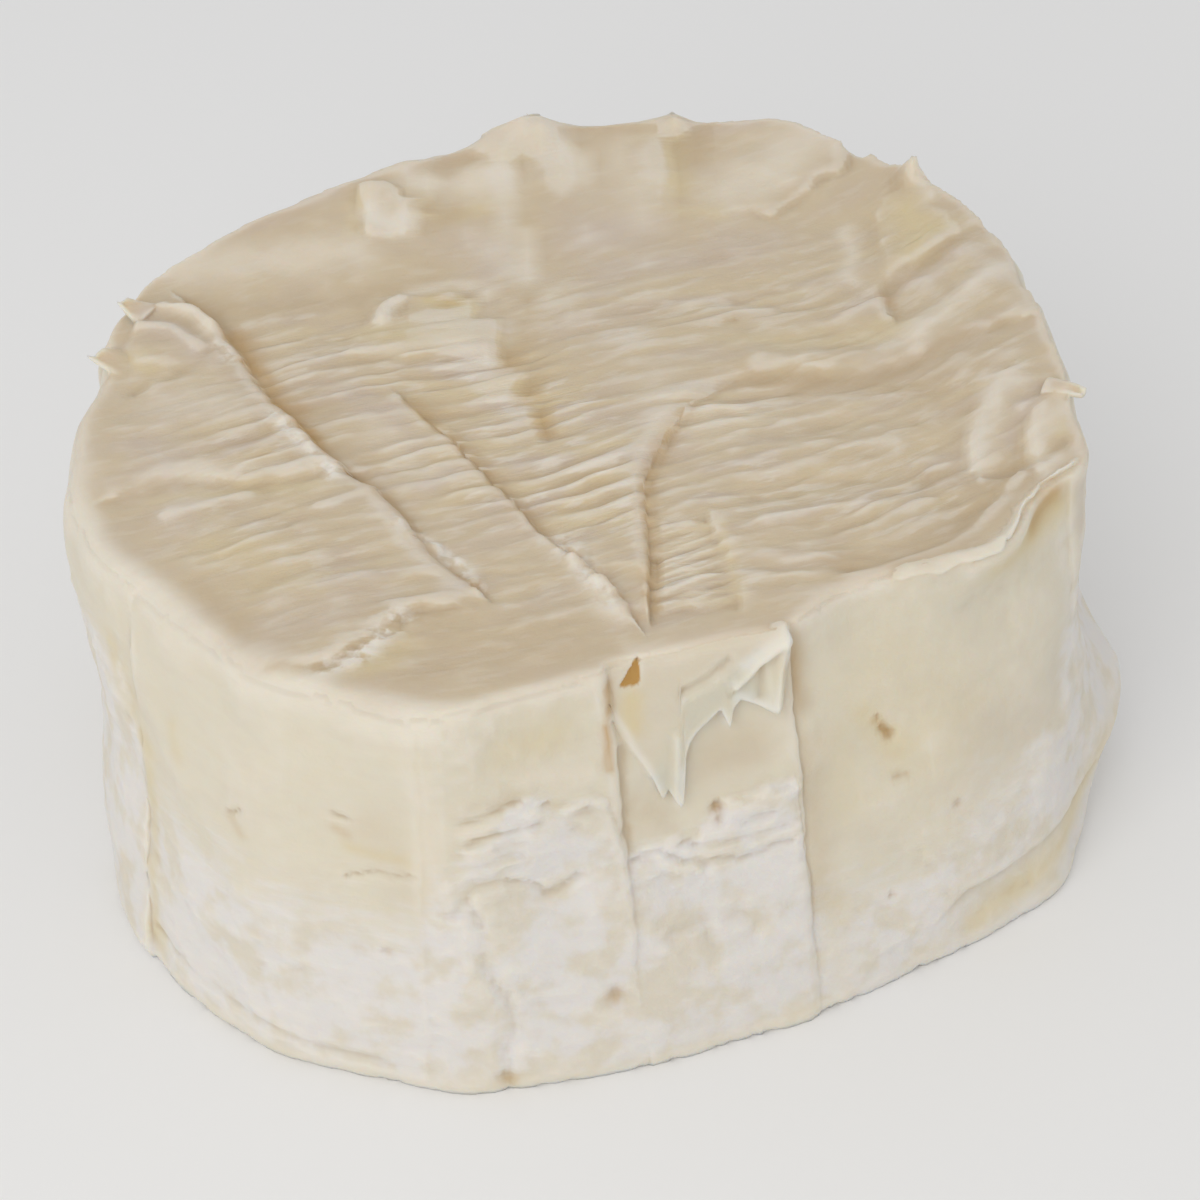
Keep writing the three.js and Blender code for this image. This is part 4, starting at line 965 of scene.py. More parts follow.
def combine(body, tool, operation):
    """Cuts a tool from the body, or joins it to the body, and removes the tool."""
    cut = body.modifiers.new("combine", "BOOLEAN")
    cut.operation = operation
    cut.solver = "MANIFOLD"
    cut.object = tool
    select_only(body)
    bpy.ops.object.modifier_apply(modifier=cut.name)
    bpy.data.objects.remove(tool)


mark_faces(wheel, SIDE_FACES)
mark_faces(knife, TOP_FACES)
combine(wheel, knife, "DIFFERENCE")
print("cut wheel:", len(wheel.data.vertices), "corners")

# %% [markdown]
# ## Loose tips
#
# At three spots of the rim a thin tip of paste sticks out into the air. A tip is a strip
# that leaves its root at some slope and curls along its length. It is thick where it grows
# out of the body, and thin, ragged and narrower at its free edge.

# %% Tips along the rim
TIP_ROWS = 15
TIP_BURIED = 1.6
TIP_COLUMN = 0.35

# root, facing, start angle, curl, width, length, slant, taper, thickness, edge share
TIPS = {
    "left_tip": ((-41.0, 8.4, 39.3), 165, 14, 10, 5.0, 1.9, 0.3, 0.6, 1.3, 0.3),
    "left_back_tip": ((-39.9, 15.0, 40.4), 150, 10, 10, 3.5, 1.4, 0.2, 0.7, 1.3, 0.35),
    "right_tip": ((40.0, -4.6, 39.9), -25, 6, -10, 2.6, 1.8, 0.1, 0.6, 1.4, 0.35),
}


def make_tip(seed, root, facing, pitch, curl, width, length, slant, taper, thick, edge):
    """A strip swept along a curling path, thinner toward its free edge."""
    random = random_source(seed)
    rag = [next(random) - 0.5 for _ in range(6)]
    count = round(width / TIP_COLUMN) + 1
    side = np.linspace(-1, 1, count)
    torn = np.interp(side, np.linspace(-1, 1, 6), rag) + 0.5 * rough(side * width / 2.4, 0.0, seed)
    reach = length * (1 + slant * side + 0.2 * torn)
    out = np.array([math.cos(math.radians(facing)), math.sin(math.radians(facing)), 0.0])
    across = np.array([-out[1], out[0], 0.0])
    up_way = np.array([0.0, 0.0, 1.0])
    start = math.radians(pitch)
    point = np.array(root) - TIP_BURIED * (math.cos(start) * out + math.sin(start) * up_way)
    point = np.repeat(point[None], count, 0)
    step = (reach + TIP_BURIED) / (TIP_ROWS - 1)
    sides = np.zeros((2, TIP_ROWS, count, 3))
    for r in range(TIP_ROWS):
        share = r / (TIP_ROWS - 1)
        angle = math.radians(pitch + curl * share)
        normal = math.cos(angle) * up_way - math.sin(angle) * out
        half = 0.5 * thick * (1 - (1 - edge) * share) * (1 - 0.55 * side**2)
        middle = point + np.outer(0.5 * width * side * (1 - taper * share), across)
        wave = 0.2 * np.sin(3.1 * side + seed) + 0.2 * rough(side * width / 3, share * 2, seed + 5)
        middle = middle + np.outer(wave * share, normal)
        sides[0, r] = middle - np.outer(half, normal)
        sides[1, r] = middle + np.outer(half, normal)
        point = point + np.outer(step, math.cos(angle) * out + math.sin(angle) * up_way)
    return closed_sheet("tip", sides[0], sides[1])


for number, tip_sizes in enumerate(TIPS.values()):
    tip = make_tip(number + 3, *tip_sizes)
    mark_faces(tip, TOP_FACES)
    combine(wheel, tip, "UNION")
print("with", len(TIPS), "tips:", len(wheel.data.vertices), "corners")

# %% [markdown]
# ## Skins draped over the rim
#
# One large flake folded over the front rim and hangs down the side, and at the right the
# torn edge of the top stands over the side as a thin lip. Both are draped: each column of
# the sheet starts under the top surface, comes out at the rim, turns round it and follows
# the side down to a torn lower edge.

# %% Drape a sheet over the rim
DRAPE_REACH = 1.8  # how far inside the rim its buried root lies
DRAPE_ROUND = 0.7  # how softly it turns over the rim
DRAPE_DIP = 0.1  # how much it dips where it turns
DRAPE_SUNK = 0.9  # how deep its root and the ends of the lip are sunk
RIM_READ_HEIGHT = 38.4  # where the radius of the rim is read
RIM_READ_INSIDE = 1.5  # how far inside it the height of the top is read


def drape(name, azimuth, low_edge, row_count, lift_at, thick_at):
    """A closed sheet over the rim, from its root on the top down to its lower edge."""
    sides = np.zeros((2, row_count, len(azimuth), 3))
    rim = side_radius(azimuth, RIM_READ_HEIGHT)
    cosine, sine = np.cos(np.radians(azimuth)), np.sin(np.radians(azimuth))
    inside = rim - RIM_READ_INSIDE
    rim_top = top_height(inside * cosine, inside * sine)
    length = DRAPE_REACH + rim_top - low_edge
    for r in range(row_count):
        share = r / (row_count - 1)
        walked = share * length
        past_rim = walked - DRAPE_REACH
        down = 0.5 * (past_rim + np.hypot(past_rim, DRAPE_ROUND)) - DRAPE_DIP
        steep = 0.5 * (1 + past_rim / np.hypot(past_rim, DRAPE_ROUND))
        height = rim_top - down
        outward = side_radius(azimuth, np.minimum(height, TOP_LEVEL)) - DRAPE_REACH + walked - down
        lift = lift_at(azimuth, height, share)
        lift = lift - DRAPE_SUNK * smooth_step(DRAPE_REACH, 0.0, walked)
        thick = thick_at(azimuth, height, share)
        for k, level_out in enumerate((lift - thick, lift)):
            r_out = outward + level_out * steep
            sides[k, r] = np.stack(
                [r_out * cosine, r_out * sine, height + level_out * (1 - steep)], 1
            )
    return closed_sheet(name, sides[0], sides[1])


# %% The skin at the front
# azimuth, height of its torn lower edge
SKIN_EDGE = np.array([
    (-89.5, 34.6), (-89, 32.6), (-87.8, 31.2), (-86.2, 29.2), (-84.9, 27.4), (-84.1, 25.9),
    (-83.6, 25.2), (-83.2, 26.4), (-82.7, 25.8), (-82, 24.8), (-81.5, 24.4), (-81.1, 26),
    (-80.8, 28.9), (-80.3, 30), (-79.2, 30.9), (-77.6, 31.6), (-75.9, 32.4), (-75.4, 31.4),
    (-74.9, 30.4), (-74.5, 32.2), (-73.4, 33), (-71.6, 32.3), (-69.9, 31.5), (-69, 31.1),
    (-68.5, 32), (-67.9, 33.8), (-67.3, 35.4), (-66.8, 36.6),
])
SKIN_COLUMNS = 76
SKIN_ROWS = 44

# height, half width, run of azimuth and height
SKIN_FOLDS = [
    (0.7, 0.55, [(-74, 34.6), (-71, 36.2), (-67.2, 37.9)]),
    (0.5, 0.5, [(-67.3, 37.6), (-68.4, 35.2), (-69.2, 32)]),
    (-0.35, 0.6, [(-70.4, 35.4), (-70.8, 33)]),
    (-0.35, 0.5, [(-80.5, 34.6), (-77, 35.5), (-74.6, 36.6)]),
    (0.3, 0.5, [(-81.6, 31), (-82.4, 25)]),
]


def skin_lift(azimuth, height, share):
    """The skin clings at its left and stands off further to the right and below."""
    free = smooth_step(38.5, 30.0, height)
    loose = 0.1 + 0.9 * smooth_step(-87.0, -78.0, azimuth)
    wave = 0.25 * rough(azimuth * ARC / 4.0, height / 4.0, 91)
    folds = 0.0
    for fold, half, run in SKIN_FOLDS:
        away = run_distance(stretched(run, ARC), azimuth * ARC, height)
        folds = folds + fold * bell(away, half)
    return 0.1 + 0.1 * loose + (0.75 * free + wave * free) * loose + folds


def skin_thick(azimuth, height, share):
    """Thick at the root, thin at the torn edge and at both sides."""
    from_side = np.minimum(azimuth - SKIN_EDGE[0, 0], SKIN_EDGE[-1, 0] - azimuth)
    thick = 1.1 - 0.75 * smooth_step(0.1, 1.0, share)
    return thick * smooth_step(0.0, 0.5, 0.12 + from_side / 2)


azimuth = np.linspace(SKIN_EDGE[0, 0], SKIN_EDGE[-1, 0], SKIN_COLUMNS)
low_edge = np.interp(azimuth, SKIN_EDGE[:, 0], SKIN_EDGE[:, 1])
skin = drape("front_skin", azimuth, low_edge, SKIN_ROWS, skin_lift, skin_thick)
mark_faces(skin, SKIN_FACES)
combine(wheel, skin, "UNION")
print("with the front skin:", len(wheel.data.vertices), "corners")

# %% The thin lip at the right
LIP_START, LIP_END = -53.0, -17.5
LIP_BURIED = 4.0  # degrees over which its two ends sink into the body
LIP_COLUMNS = 110
LIP_ROWS = 14
LIP_TOP = 38.4
LIP_CLIMB = 1.0  # how much higher its edge lies at its right end


def lip_lift(azimuth, height, share):
    wave = 0.25 * rough(azimuth * ARC / 2.6, 0.0, 93)
    from_end = np.minimum(azimuth - LIP_START, LIP_END - azimuth)
    strong = smooth_step(LIP_START + 3, LIP_START + 21, azimuth)
    lift = 0.15 + (0.2 + 0.7 * strong + wave) * smooth_step(0.2, 1.0, share)
    return lift - DRAPE_SUNK * smooth_step(LIP_BURIED, 0.0, from_end)


def lip_thick(azimuth, height, share):
    return np.full(np.shape(azimuth), 0.9 - 0.3 * share)


azimuth = np.linspace(LIP_START, LIP_END, LIP_COLUMNS)
low_edge = LIP_TOP - 0.4 * rough(azimuth * ARC / 1.7, 0.0, 95)
low_edge = low_edge + LIP_CLIMB * smooth_step(-42, -30, azimuth)
lip = drape("rim_lip", azimuth, low_edge, LIP_ROWS, lip_lift, lip_thick)
mark_faces(lip, LIP_FACES)
combine(wheel, lip, "UNION")
print("with the rim lip:", len(wheel.data.vertices), "corners")

# %% [markdown]
# ## The torn hole beside the skin
#
# Between the skin and the cut to its left the paste is torn open, a small dark triangle. A
# three-sided cylinder primitive, pushed in from the front, cuts it out.

# %% Cut the torn hole
HOLE_PLACE = (-86.6, 36.9)  # azimuth and height
HOLE_RADIUS = 1.45
HOLE_NARROW = 0.6
HOLE_LEAN = 0.42  # sideways for each mm of height
HOLE_DEPTH = 1.7

hole_angle = math.radians(HOLE_PLACE[0])
hole_out = float(side_radius(np.array(HOLE_PLACE[0]), np.array(HOLE_PLACE[1]))) + 1.0
hole_at = (hole_out * math.cos(hole_angle), hole_out * math.sin(hole_angle), HOLE_PLACE[1])
bpy.ops.mesh.primitive_cylinder_add(
    vertices=3, radius=HOLE_RADIUS * MM, depth=2 * HOLE_DEPTH * MM, location=to_metres(hole_at),
    rotation=(math.radians(90.0), 0.0, math.radians(5.0)), scale=(HOLE_NARROW, 1.0, 1.0),
)
wedge = bpy.context.object
bpy.ops.object.transform_apply(location=True, rotation=True, scale=True)
leaning = read_points(wedge)
leaning[:, 0] += HOLE_LEAN * (leaning[:, 2] - HOLE_PLACE[1] * MM)
write_points(wedge, leaning)
mark_faces(wedge, HOLE_FACES)
combine(wheel, wedge, "DIFFERENCE")
print("with the hole:", len(wheel.data.vertices), "corners")

# %% [markdown]
# ## Cleaning and softening
#
# The cuts leave slivers, which merging by distance closes. Soft paste has no knife-sharp
# edges, so the whole surface gets a light smoothing, and more of it where a skin grows out
# of the body and where the rim is rolled over.

# %% Merge and triangulate
MERGE_DISTANCE = 0.00004  # metres

select_only(wheel)
bpy.ops.object.mode_set(mode="EDIT")
bpy.ops.mesh.select_mode(type="VERT")
bpy.ops.mesh.select_all(action="SELECT")
bpy.ops.mesh.remove_doubles(threshold=MERGE_DISTANCE)
bpy.ops.mesh.quads_convert_to_tris()
bpy.ops.object.mode_set(mode="OBJECT")
print("clean:", len(wheel.data.polygons), "triangles")

# %% Soften
SOFTEN_ROUNDS = 6
ROLL_ROUNDS = 14
FULL_ROLL = 3.0  # mm of roll at which the rim is softened fully
ROLL_PULL = 0.6
EVEN_PULL, SKIN_PULL, RIM_PULL = 0.04, 0.55, 0.35
LARGEST_PULL = 0.6

edge_ends = read_values(wheel.data.edges, "vertices", 2, int).reshape(-1, 2)
point_count = len(wheel.data.vertices)
neighbours = np.bincount(edge_ends.ravel(), minlength=point_count)


def neighbour_mean(values):
    """Mean over the neighbours of every corner."""
    total = np.zeros_like(values)
    for c in range(values.shape[1]):
        total[:, c] += np.bincount(edge_ends[:, 0], values[edge_ends[:, 1], c], point_count)
        total[:, c] += np.bincount(edge_ends[:, 1], values[edge_ends[:, 0], c], point_count)
    return total / neighbours[:, None]


def spread(values, rounds):
    """The same values, spread over the neighbours of each corner."""
    for _ in range(rounds):
        values = np.maximum(values, 0.9 * neighbour_mean(values))
    return values


def corner_share(mark):
    """Share of the faces at each corner that carry a mark."""
    face_marks = read_values(wheel.data.polygons, "material_index", kind=int)
    corners = read_values(wheel.data.loops, "vertex_index", kind=int)
    sizes = read_values(wheel.data.polygons, "loop_total", kind=int)
    hits = np.repeat((face_marks == mark).astype(float), sizes)
    counted = np.bincount(corners, minlength=point_count)
    return np.bincount(corners, hits, point_count) / counted


on_top = corner_share(TOP_FACES)
on_lip = corner_share(LIP_FACES)
on_skin = corner_share(SKIN_FACES) + on_lip
in_hole = corner_share(HOLE_FACES)
skin_border = spread(((on_skin > 0.02) & (on_skin < 0.98)).astype(float)[:, None], 2)
rim_line = ((on_top > 0.02) & (on_top < 0.98)).astype(float)[:, None]
rim_border = spread(rim_line, 2)
points = read_points(wheel)
azimuth = azimuth_of(points[:, 0] / MM - SHIFT[0], points[:, 1] / MM - SHIFT[1])
rolled = np.clip(read_around(RIM_ROLL, azimuth, 1) / FULL_ROLL - 0.25, 0.0, 1.0)[:, None]
roll_border = spread(rim_line, 9) * rolled
base_height = points[:, 2].copy()
for turn_count in range(ROLL_ROUNDS):
    pull = ROLL_PULL * roll_border
    if turn_count < SOFTEN_ROUNDS:
        pull = pull + EVEN_PULL + SKIN_PULL * skin_border + RIM_PULL * rim_border
    points = points + np.clip(pull, 0.0, LARGEST_PULL) * (neighbour_mean(points) - points)
points[base_height < 0.00001, 2] = 0.0
write_points(wheel, points)
print("softened", int((roll_border > 0.1).sum()), "corners along the rolled rim")

# %% [markdown]
# ## Painting what the finish needs to know
#
# The finish needs the direction of the knife, the torn rind, the hollows and the soft
# patches of colour in the paste. They are kept as attributes on the corners of the mesh, so
# that they follow the surface wherever it goes. How hollow a spot is comes from comparing
# the surface with a much smoother copy.

# %% Hollows, top and side
FINE_ROUNDS, BROAD_ROUNDS = 6, 40
UP_FACING = (0.45, 0.7)  # how far a spot of the top faces up, none and full
UP_HEIGHT = (25, 32)  # and how high it lies

normals = read_values(wheel.data.vertices, "normal", 3).reshape(-1, 3)


def hollowness(rounds):
    """How far each corner lies below the smoothed surface, in mm."""
    smoothed = points.copy()
    for _ in range(rounds):
        smoothed = smoothed + 0.8 * (neighbour_mean(smoothed) - smoothed)
    return ((smoothed - points) * normals).sum(1) / MM


fine_hollow = hollowness(FINE_ROUNDS)
broad_hollow = hollowness(BROAD_ROUNDS)
place = points / MM - SHIFT
x, y, z = place.T
azimuth = azimuth_of(x, y)
facing_up = normals[:, 2:3]
for _ in range(6):
    facing_up = neighbour_mean(facing_up)
upper = smooth_step(*UP_FACING, facing_up[:, 0]) * smooth_step(*UP_HEIGHT, z)
upper = upper * (1 - np.clip(2 * on_skin, 0, 1))
print("fine hollows in mm:", [round(float(v), 2) for v in (fine_hollow.min(), fine_hollow.max())])

# %% Direction of the knife, rind and painted warm shade
stroke = sum((x > np.interp(y, run[:, 1], run[:, 0])).astype(int) for run in LONG_LIPS)
across = y - ridge_climb(x) - ridge_shift(stroke, y)
is_top = upper > 0.5
lay = np.stack([
    np.where(is_top, x + 0.25 * y, azimuth * ARC),
    np.where(is_top, across, z),
    np.where(is_top, past_lips(stroke, y, LIP_PHASES), 50.0),
], 1)
lined = np.where(is_top, 0.25 + 0.75 * np.clip(1.4 * ridge_strength(x, y), 0, 1), 0.12)
lined = lined * np.clip(5 * np.abs(upper - 0.5), 0, 1)
rind = rind_depth(azimuth, z) - 8.0 * np.clip(on_skin, 0, 1) - 8.0 * upper

# how strong the painted warm shade along each long lip is
LIP_SHADE = {"leftStrip": 0.45, "middleStrip": 0.4, "longStep": 0.45, "shortSlit": 0.45}
SHADED_SHARE = {"longStep": 0.4, "shortSlit": 0.6}  # share of the line's length that gets painted warm shade
# strength of the painted warm shade on the shaded side of each seam
SEAM_SHADE = (0.0, 0.0, 0.1, 0.1, 0.0, 0.3, 0.2, 0.2, 0.2, 0.2)
WARM_SHADE_MOST = 1.6
SHADE_WIDTH, SHADE_OFFSET = 0.6, 0.25

# painted warm shade: in the torn hole, along the crevice of the long lips, beside seams and in the
# small holes
warm_shade = np.clip(2 * in_hole, 0, 1) * WARM_SHADE_MOST
for name, strength in LIP_SHADE.items():
    away, on_left, overrun, progress = side_of_line(smooth_lines[name], x, y)
    end = SHADED_SHARE.get(name, 1.5)
    sharp = smooth_step(end + 0.1, end - 0.1, progress)
    lip_shade = bell(away - np.where(on_left, 0.0, SHADE_OFFSET), SHADE_WIDTH)
    lip_shade = lip_shade * smooth_step(1.0, 0.0, overrun)
    warm_shade += sharp * strength * upper * lip_shade
for seam, strength in zip(SIDE_SEAMS, SEAM_SHADE):
    past = seam_offset(seam, azimuth, z) * ARC
    warm_shade += strength * (1 - upper) * bell(past - 0.4, 0.5) * smooth_step(12, 26, z)
for middle, height, size, deep in HOLES:
    away = np.hypot(turn(middle, azimuth) * ARC, z - height)
    warm_shade += (1 - upper) * min(1.0, deep) * bell(away, 0.9 * size)
print("knife lay, rind and warm seams painted")

# %% [markdown]
# ## Soft patches of colour, painted light and painted shade
#
# The paste isn't one colour. It is paler where it was folded or torn thin, yellow where it
# is fatty and lilac where a trace of rind is left. Some strokes are painted light and shade:
# pale strokes on facets and curl crests that face the lamp and white strokes on lit ridges
# of the skin are painted highlight, tan strokes are painted shade in grooves, under lips and
# along steps, and warm strokes are painted warm shade in crevices. Each patch is drawn as
# a soft stroke: what it is, how strong, how wide, and its run.

# %% Patches of the top
# for each kind: strength, half width, run of x and y
TOP_PATCHES = {
    # pale: partly painted light, the lit band of the back-left facet, the bright middle facet at
    # the back and the lit crests of the two curls at the right
    "pale": [
        (0.75, 2.4, [(-36.5, 22), (-30.6, 22.4), (-25.4, 22.8), (-20.8, 23.2)]),
        (1, 2, [(-14, 31), (-10, 31.2), (-7, 31.8)]),
        (1, 1.5, [(-18.6, 28), (-17, 26.2), (-15.4, 26.4)]),
        (1, 2.4, [(-4.4, 41), (-2.6, 36.5), (0.4, 33)]),
        (0.9, 0.7, [(-4.9, 25.1), (-4.3, 19.5), (-3.6, 15)]),
        (0.6, 2.2, [(5.5, 27), (6, 32)]),
        (0.6, 2.4, [(3, 36.5), (4.6, 31)]),
        (0.85, 3.4, [(14, 30.5), (17.5, 32.5), (21.5, 36.5)]),
        (0.8, 0.9, [(24.4, 24), (24.1, 18.7), (23.9, 15)]),
        (0.7, 1.1, [(31.4, 30.6), (31.6, 27)]),
        (0.8, 1.4, [(26.5, 4.6), (31, 8.2), (35.3, 12.8), (37, 14.8)]),
        (0.5, 1, [(14.2, 11.4), (16.6, 10.6)]),
        (0.7, 1.3, [(36.3, -2), (34.4, -4.4), (32.7, -8), (32.1, -11), (32, -13.4)]),
        (0.7, 1, [(40.2, -5.4), (38.3, -7.6), (37.2, -10.4), (37, -13.2)]),
        (0.9, 1, [(38.4, -13.4), (36.4, -17.4), (34.4, -21.4), (31.6, -26)]),
        (0.4, 2.6, [(8, -5), (13, -4)]),
        (0.4, 1.4, [(7, -21.5), (7.6, -28)]),
        (0.8, 1.2, [(-3.2, -21.4), (-1.8, -23.4), (-0.5, -26.2), (1.6, -30.8)]),
        (0.7, 0.8, [(-15.3, -19), (-13.5, -20.7), (-11.2, -24.2)]),
        (0.7, 1, [(2, -35.6), (6.7, -36), (11.4, -35.7), (14.5, -35.9)]),
        (0.6, 0.9, [(-34, -8.4), (-28, -9.4), (-21, -8.8)]),
        (0.6, 0.6, [(-35, -14.4), (-32.1, -13.2), (-29.2, -12.4)]),
        (0.4, 3, [(-36, 1.5), (-30.5, 0)]),
        (0.9, 0.9, [(-36.4, 15), (-34.1, 13.6), (-32.8, 11.8)]),
        (0.5, 0.7, [(-31.6, 9.6), (-29.8, 6), (-28.2, 2.4)]),
        (0.4, 1.6, [(-19, -3.5), (-13, -11.5)]),
        (0.8, 0.9, [(-15.6, 17.6), (-12.6, 18.4), (-9.6, 17.8), (-8, 14.6), (-6.8, 10)]),
        (0.6, 0.6, [(-20.6, 8.2), (-14.5, 8), (-8, 6.4)]),
        (0.6, 0.6, [(-9.6, 15.6), (-7.6, 11), (-6.6, 7)]),
    ],
    "yellow": [
        (0.5, 2, [(-13, 27.6), (-9, 28.6)]),
        (0.6, 0.9, [(-20.2, 25.5), (-20, 30)]),
        (0.45, 1, [(-2.6, 35), (-2.2, 31.5)]),
        (0.8, 0.7, [(-6.2, 34), (-6, 29.6), (-5.8, 24.3)]),
        (0.9, 1.1, [(9.2, 37.6), (9.2, 34), (8.8, 30.4)]),
        (0.5, 1, [(8.6, 28.5), (13, 27)]),
        (0.8, 2.2, [(29.6, 25), (31.4, 21.6), (29.4, 18)]),
        (0.5, 1.6, [(13, 6.5), (20, 5.5), (27, 7)]),
        (0.7, 0.6, [(39.2, -8.4), (39, -9.6)]),
        (0.5, 0.5, [(9.8, -19.8), (10.6, -24.5), (11.2, -29.5)]),
        (0.6, 1.4, [(-18.6, -36.8), (-15.2, -33.6)]),
        (0.5, 1.1, [(-36, -12.6), (-29, -11.8), (-22, -12.2)]),
        (0.5, 1.2, [(-39.6, 8.4), (-38.6, 7)]),
        (1, 1.4, [(-13, 15.8), (-11.6, 15), (-10.4, 13.2)]),
        (1, 0.9, [(-7.4, 8.6), (-6.6, 5.4), (-5.4, 1), (-4.4, -4)]),
        (0.6, 0.9, [(-15.4, 0.6), (-12.6, -4)]),
        (0.6, 2, [(-17.5, 10.2), (-12, 9.6)]),
        (0.4, 3, [(-30, -20), (-24, -24)]),
    ],
    "mauve": [
        (0.7, 2, [(-31, 27.5), (-26, 30), (-20.5, 32)]),
        (0.6, 1.6, [(-18, 34.2), (-13.7, 35.6), (-9.6, 36.8)]),
        (0.6, 2.4, [(-11, 24.5), (-8.6, 22), (-9, 19.5)]),
        (0.8, 3.2, [(0, 25.5), (5, 25)]),
        (0.6, 2.4, [(1, 20), (8, 20.5), (17, 23)]),
        (0.6, 0.9, [(17.5, 39.5), (12, 39.2)]),
        (0.8, 1.3, [(28.2, 14.6), (31, 15.6), (33.5, 17.8)]),
        (0.4, 1, [(16.5, 0), (23, -1)]),
        (0.8, 0.9, [(38.4, -3.6), (36, -7), (34.8, -10.8)]),
        (0.5, 2, [(-26, -30.4), (-18, -27)]),
        (0.5, 1, [(-33, 9.6), (-30.4, 3.4), (-27.6, -2.6)]),
        (0.8, 1.5, [(-38.8, 13), (-36, 11), (-34, 8.6)]),
        (0.6, 2, [(-22, 3), (-17.5, -2), (-14.5, -7)]),
        (0.6, 2.2, [(-37, -4), (-34, -16)]),
    ],
    # tan: painted shade in grooves, beside steps and lips and in low places
    "tan": [
        (0.5, 1.6, [(-38.5, 17.2), (-32, 16.4), (-25, 16.2), (-20.5, 16.8)]),
        (0.8, 0.8, [(-5.9, 28.4), (-5.8, 24), (-5.3, 19), (-4.9, 15)]),
        (0.6, 0.9, [(24.9, 33.3), (22.1, 32), (19.5, 29.2), (17.9, 26.8)]),
        (0.4, 0.8, [(26.6, 24.6), (26.5, 19.4)]),
        (0.5, 0.9, [(33.8, 20), (30.2, 16.8), (26.9, 13.6)]),
        (0.7, 1.1, [(14.4, 1.2), (20.6, 0.2), (26, 1), (31.5, 4.4), (36, 6)]),
        (0.5, 2.6, [(29, -1.5), (34, 2.5)]),
        (0.75, 1.5, [(27.2, -14.6), (30.1, -14.9), (33.4, -14.6), (36.6, -13.6)]),
        (0.7, 1.7, [(33, -17), (30.8, -20.4), (28, -23.4), (24, -25.6), (19, -26)]),
        (0.5, 2.2, [(-20, -38.4), (-16.5, -38.8), (-12.8, -36.8)]),
        (0.6, 2.2, [(-32, -26), (-28.8, -31), (-27.2, -34)]),
        (0.7, 1, [(-31, 5), (-29.4, 1.4), (-27.6, -1.4)]),
        (0.9, 0.45, [(-26.6, -35.4), (-22.1, -35.8), (-19.9, -34.7), (-18, -33.2), (-16.1, -30.9)]),
        (0.8, 1.3, [(-30.6, 12.6), (-28.4, 7), (-25.8, 1.6), (-22.8, -4.8), (-19, -10.4)]),
        (0.8, 0.6, [(-7, 7.4), (-5.9, 3), (-4.7, -3.4)]),
        (0.6, 0.8, [(-20.2, 15.6), (-18.8, 18), (-14.6, 19), (-10.4, 18.6)]),
        (0.55, 5, [(-25, 0), (-22, -6)]),
        (0.4, 4, [(-16, -31), (-10, -35), (-4, -34)]),
        (0.35, 3, [(-33, 26), (-27, 28)]),
    ],
    "white": [
        (0.6, 1, [(-18.2, 25.8), (-16.2, 25.6), (-15, 26.6)]),
        (0.5, 0.7, [(-26.4, -2.6), (-24, -6.8), (-21.8, -10.6)]),
        (0.55, 0.8, [(-18, 12.8), (-17.4, 14.8), (-16.2, 16.2)]),
    ],
    # warm: painted warm shade beside a lip and in crevices
    "warm_shade": [
        (0.5, 0.6, [(26.6, 12.6), (27, 11.4)]),
        (0.45, 1, [(-31.4, 12.2), (-29, 7), (-26.4, 1.6), (-23.4, -4.8)]),
        (0.4, 0.8, [(-12.8, 16.2), (-11.6, 14.8)]),
    ],
}

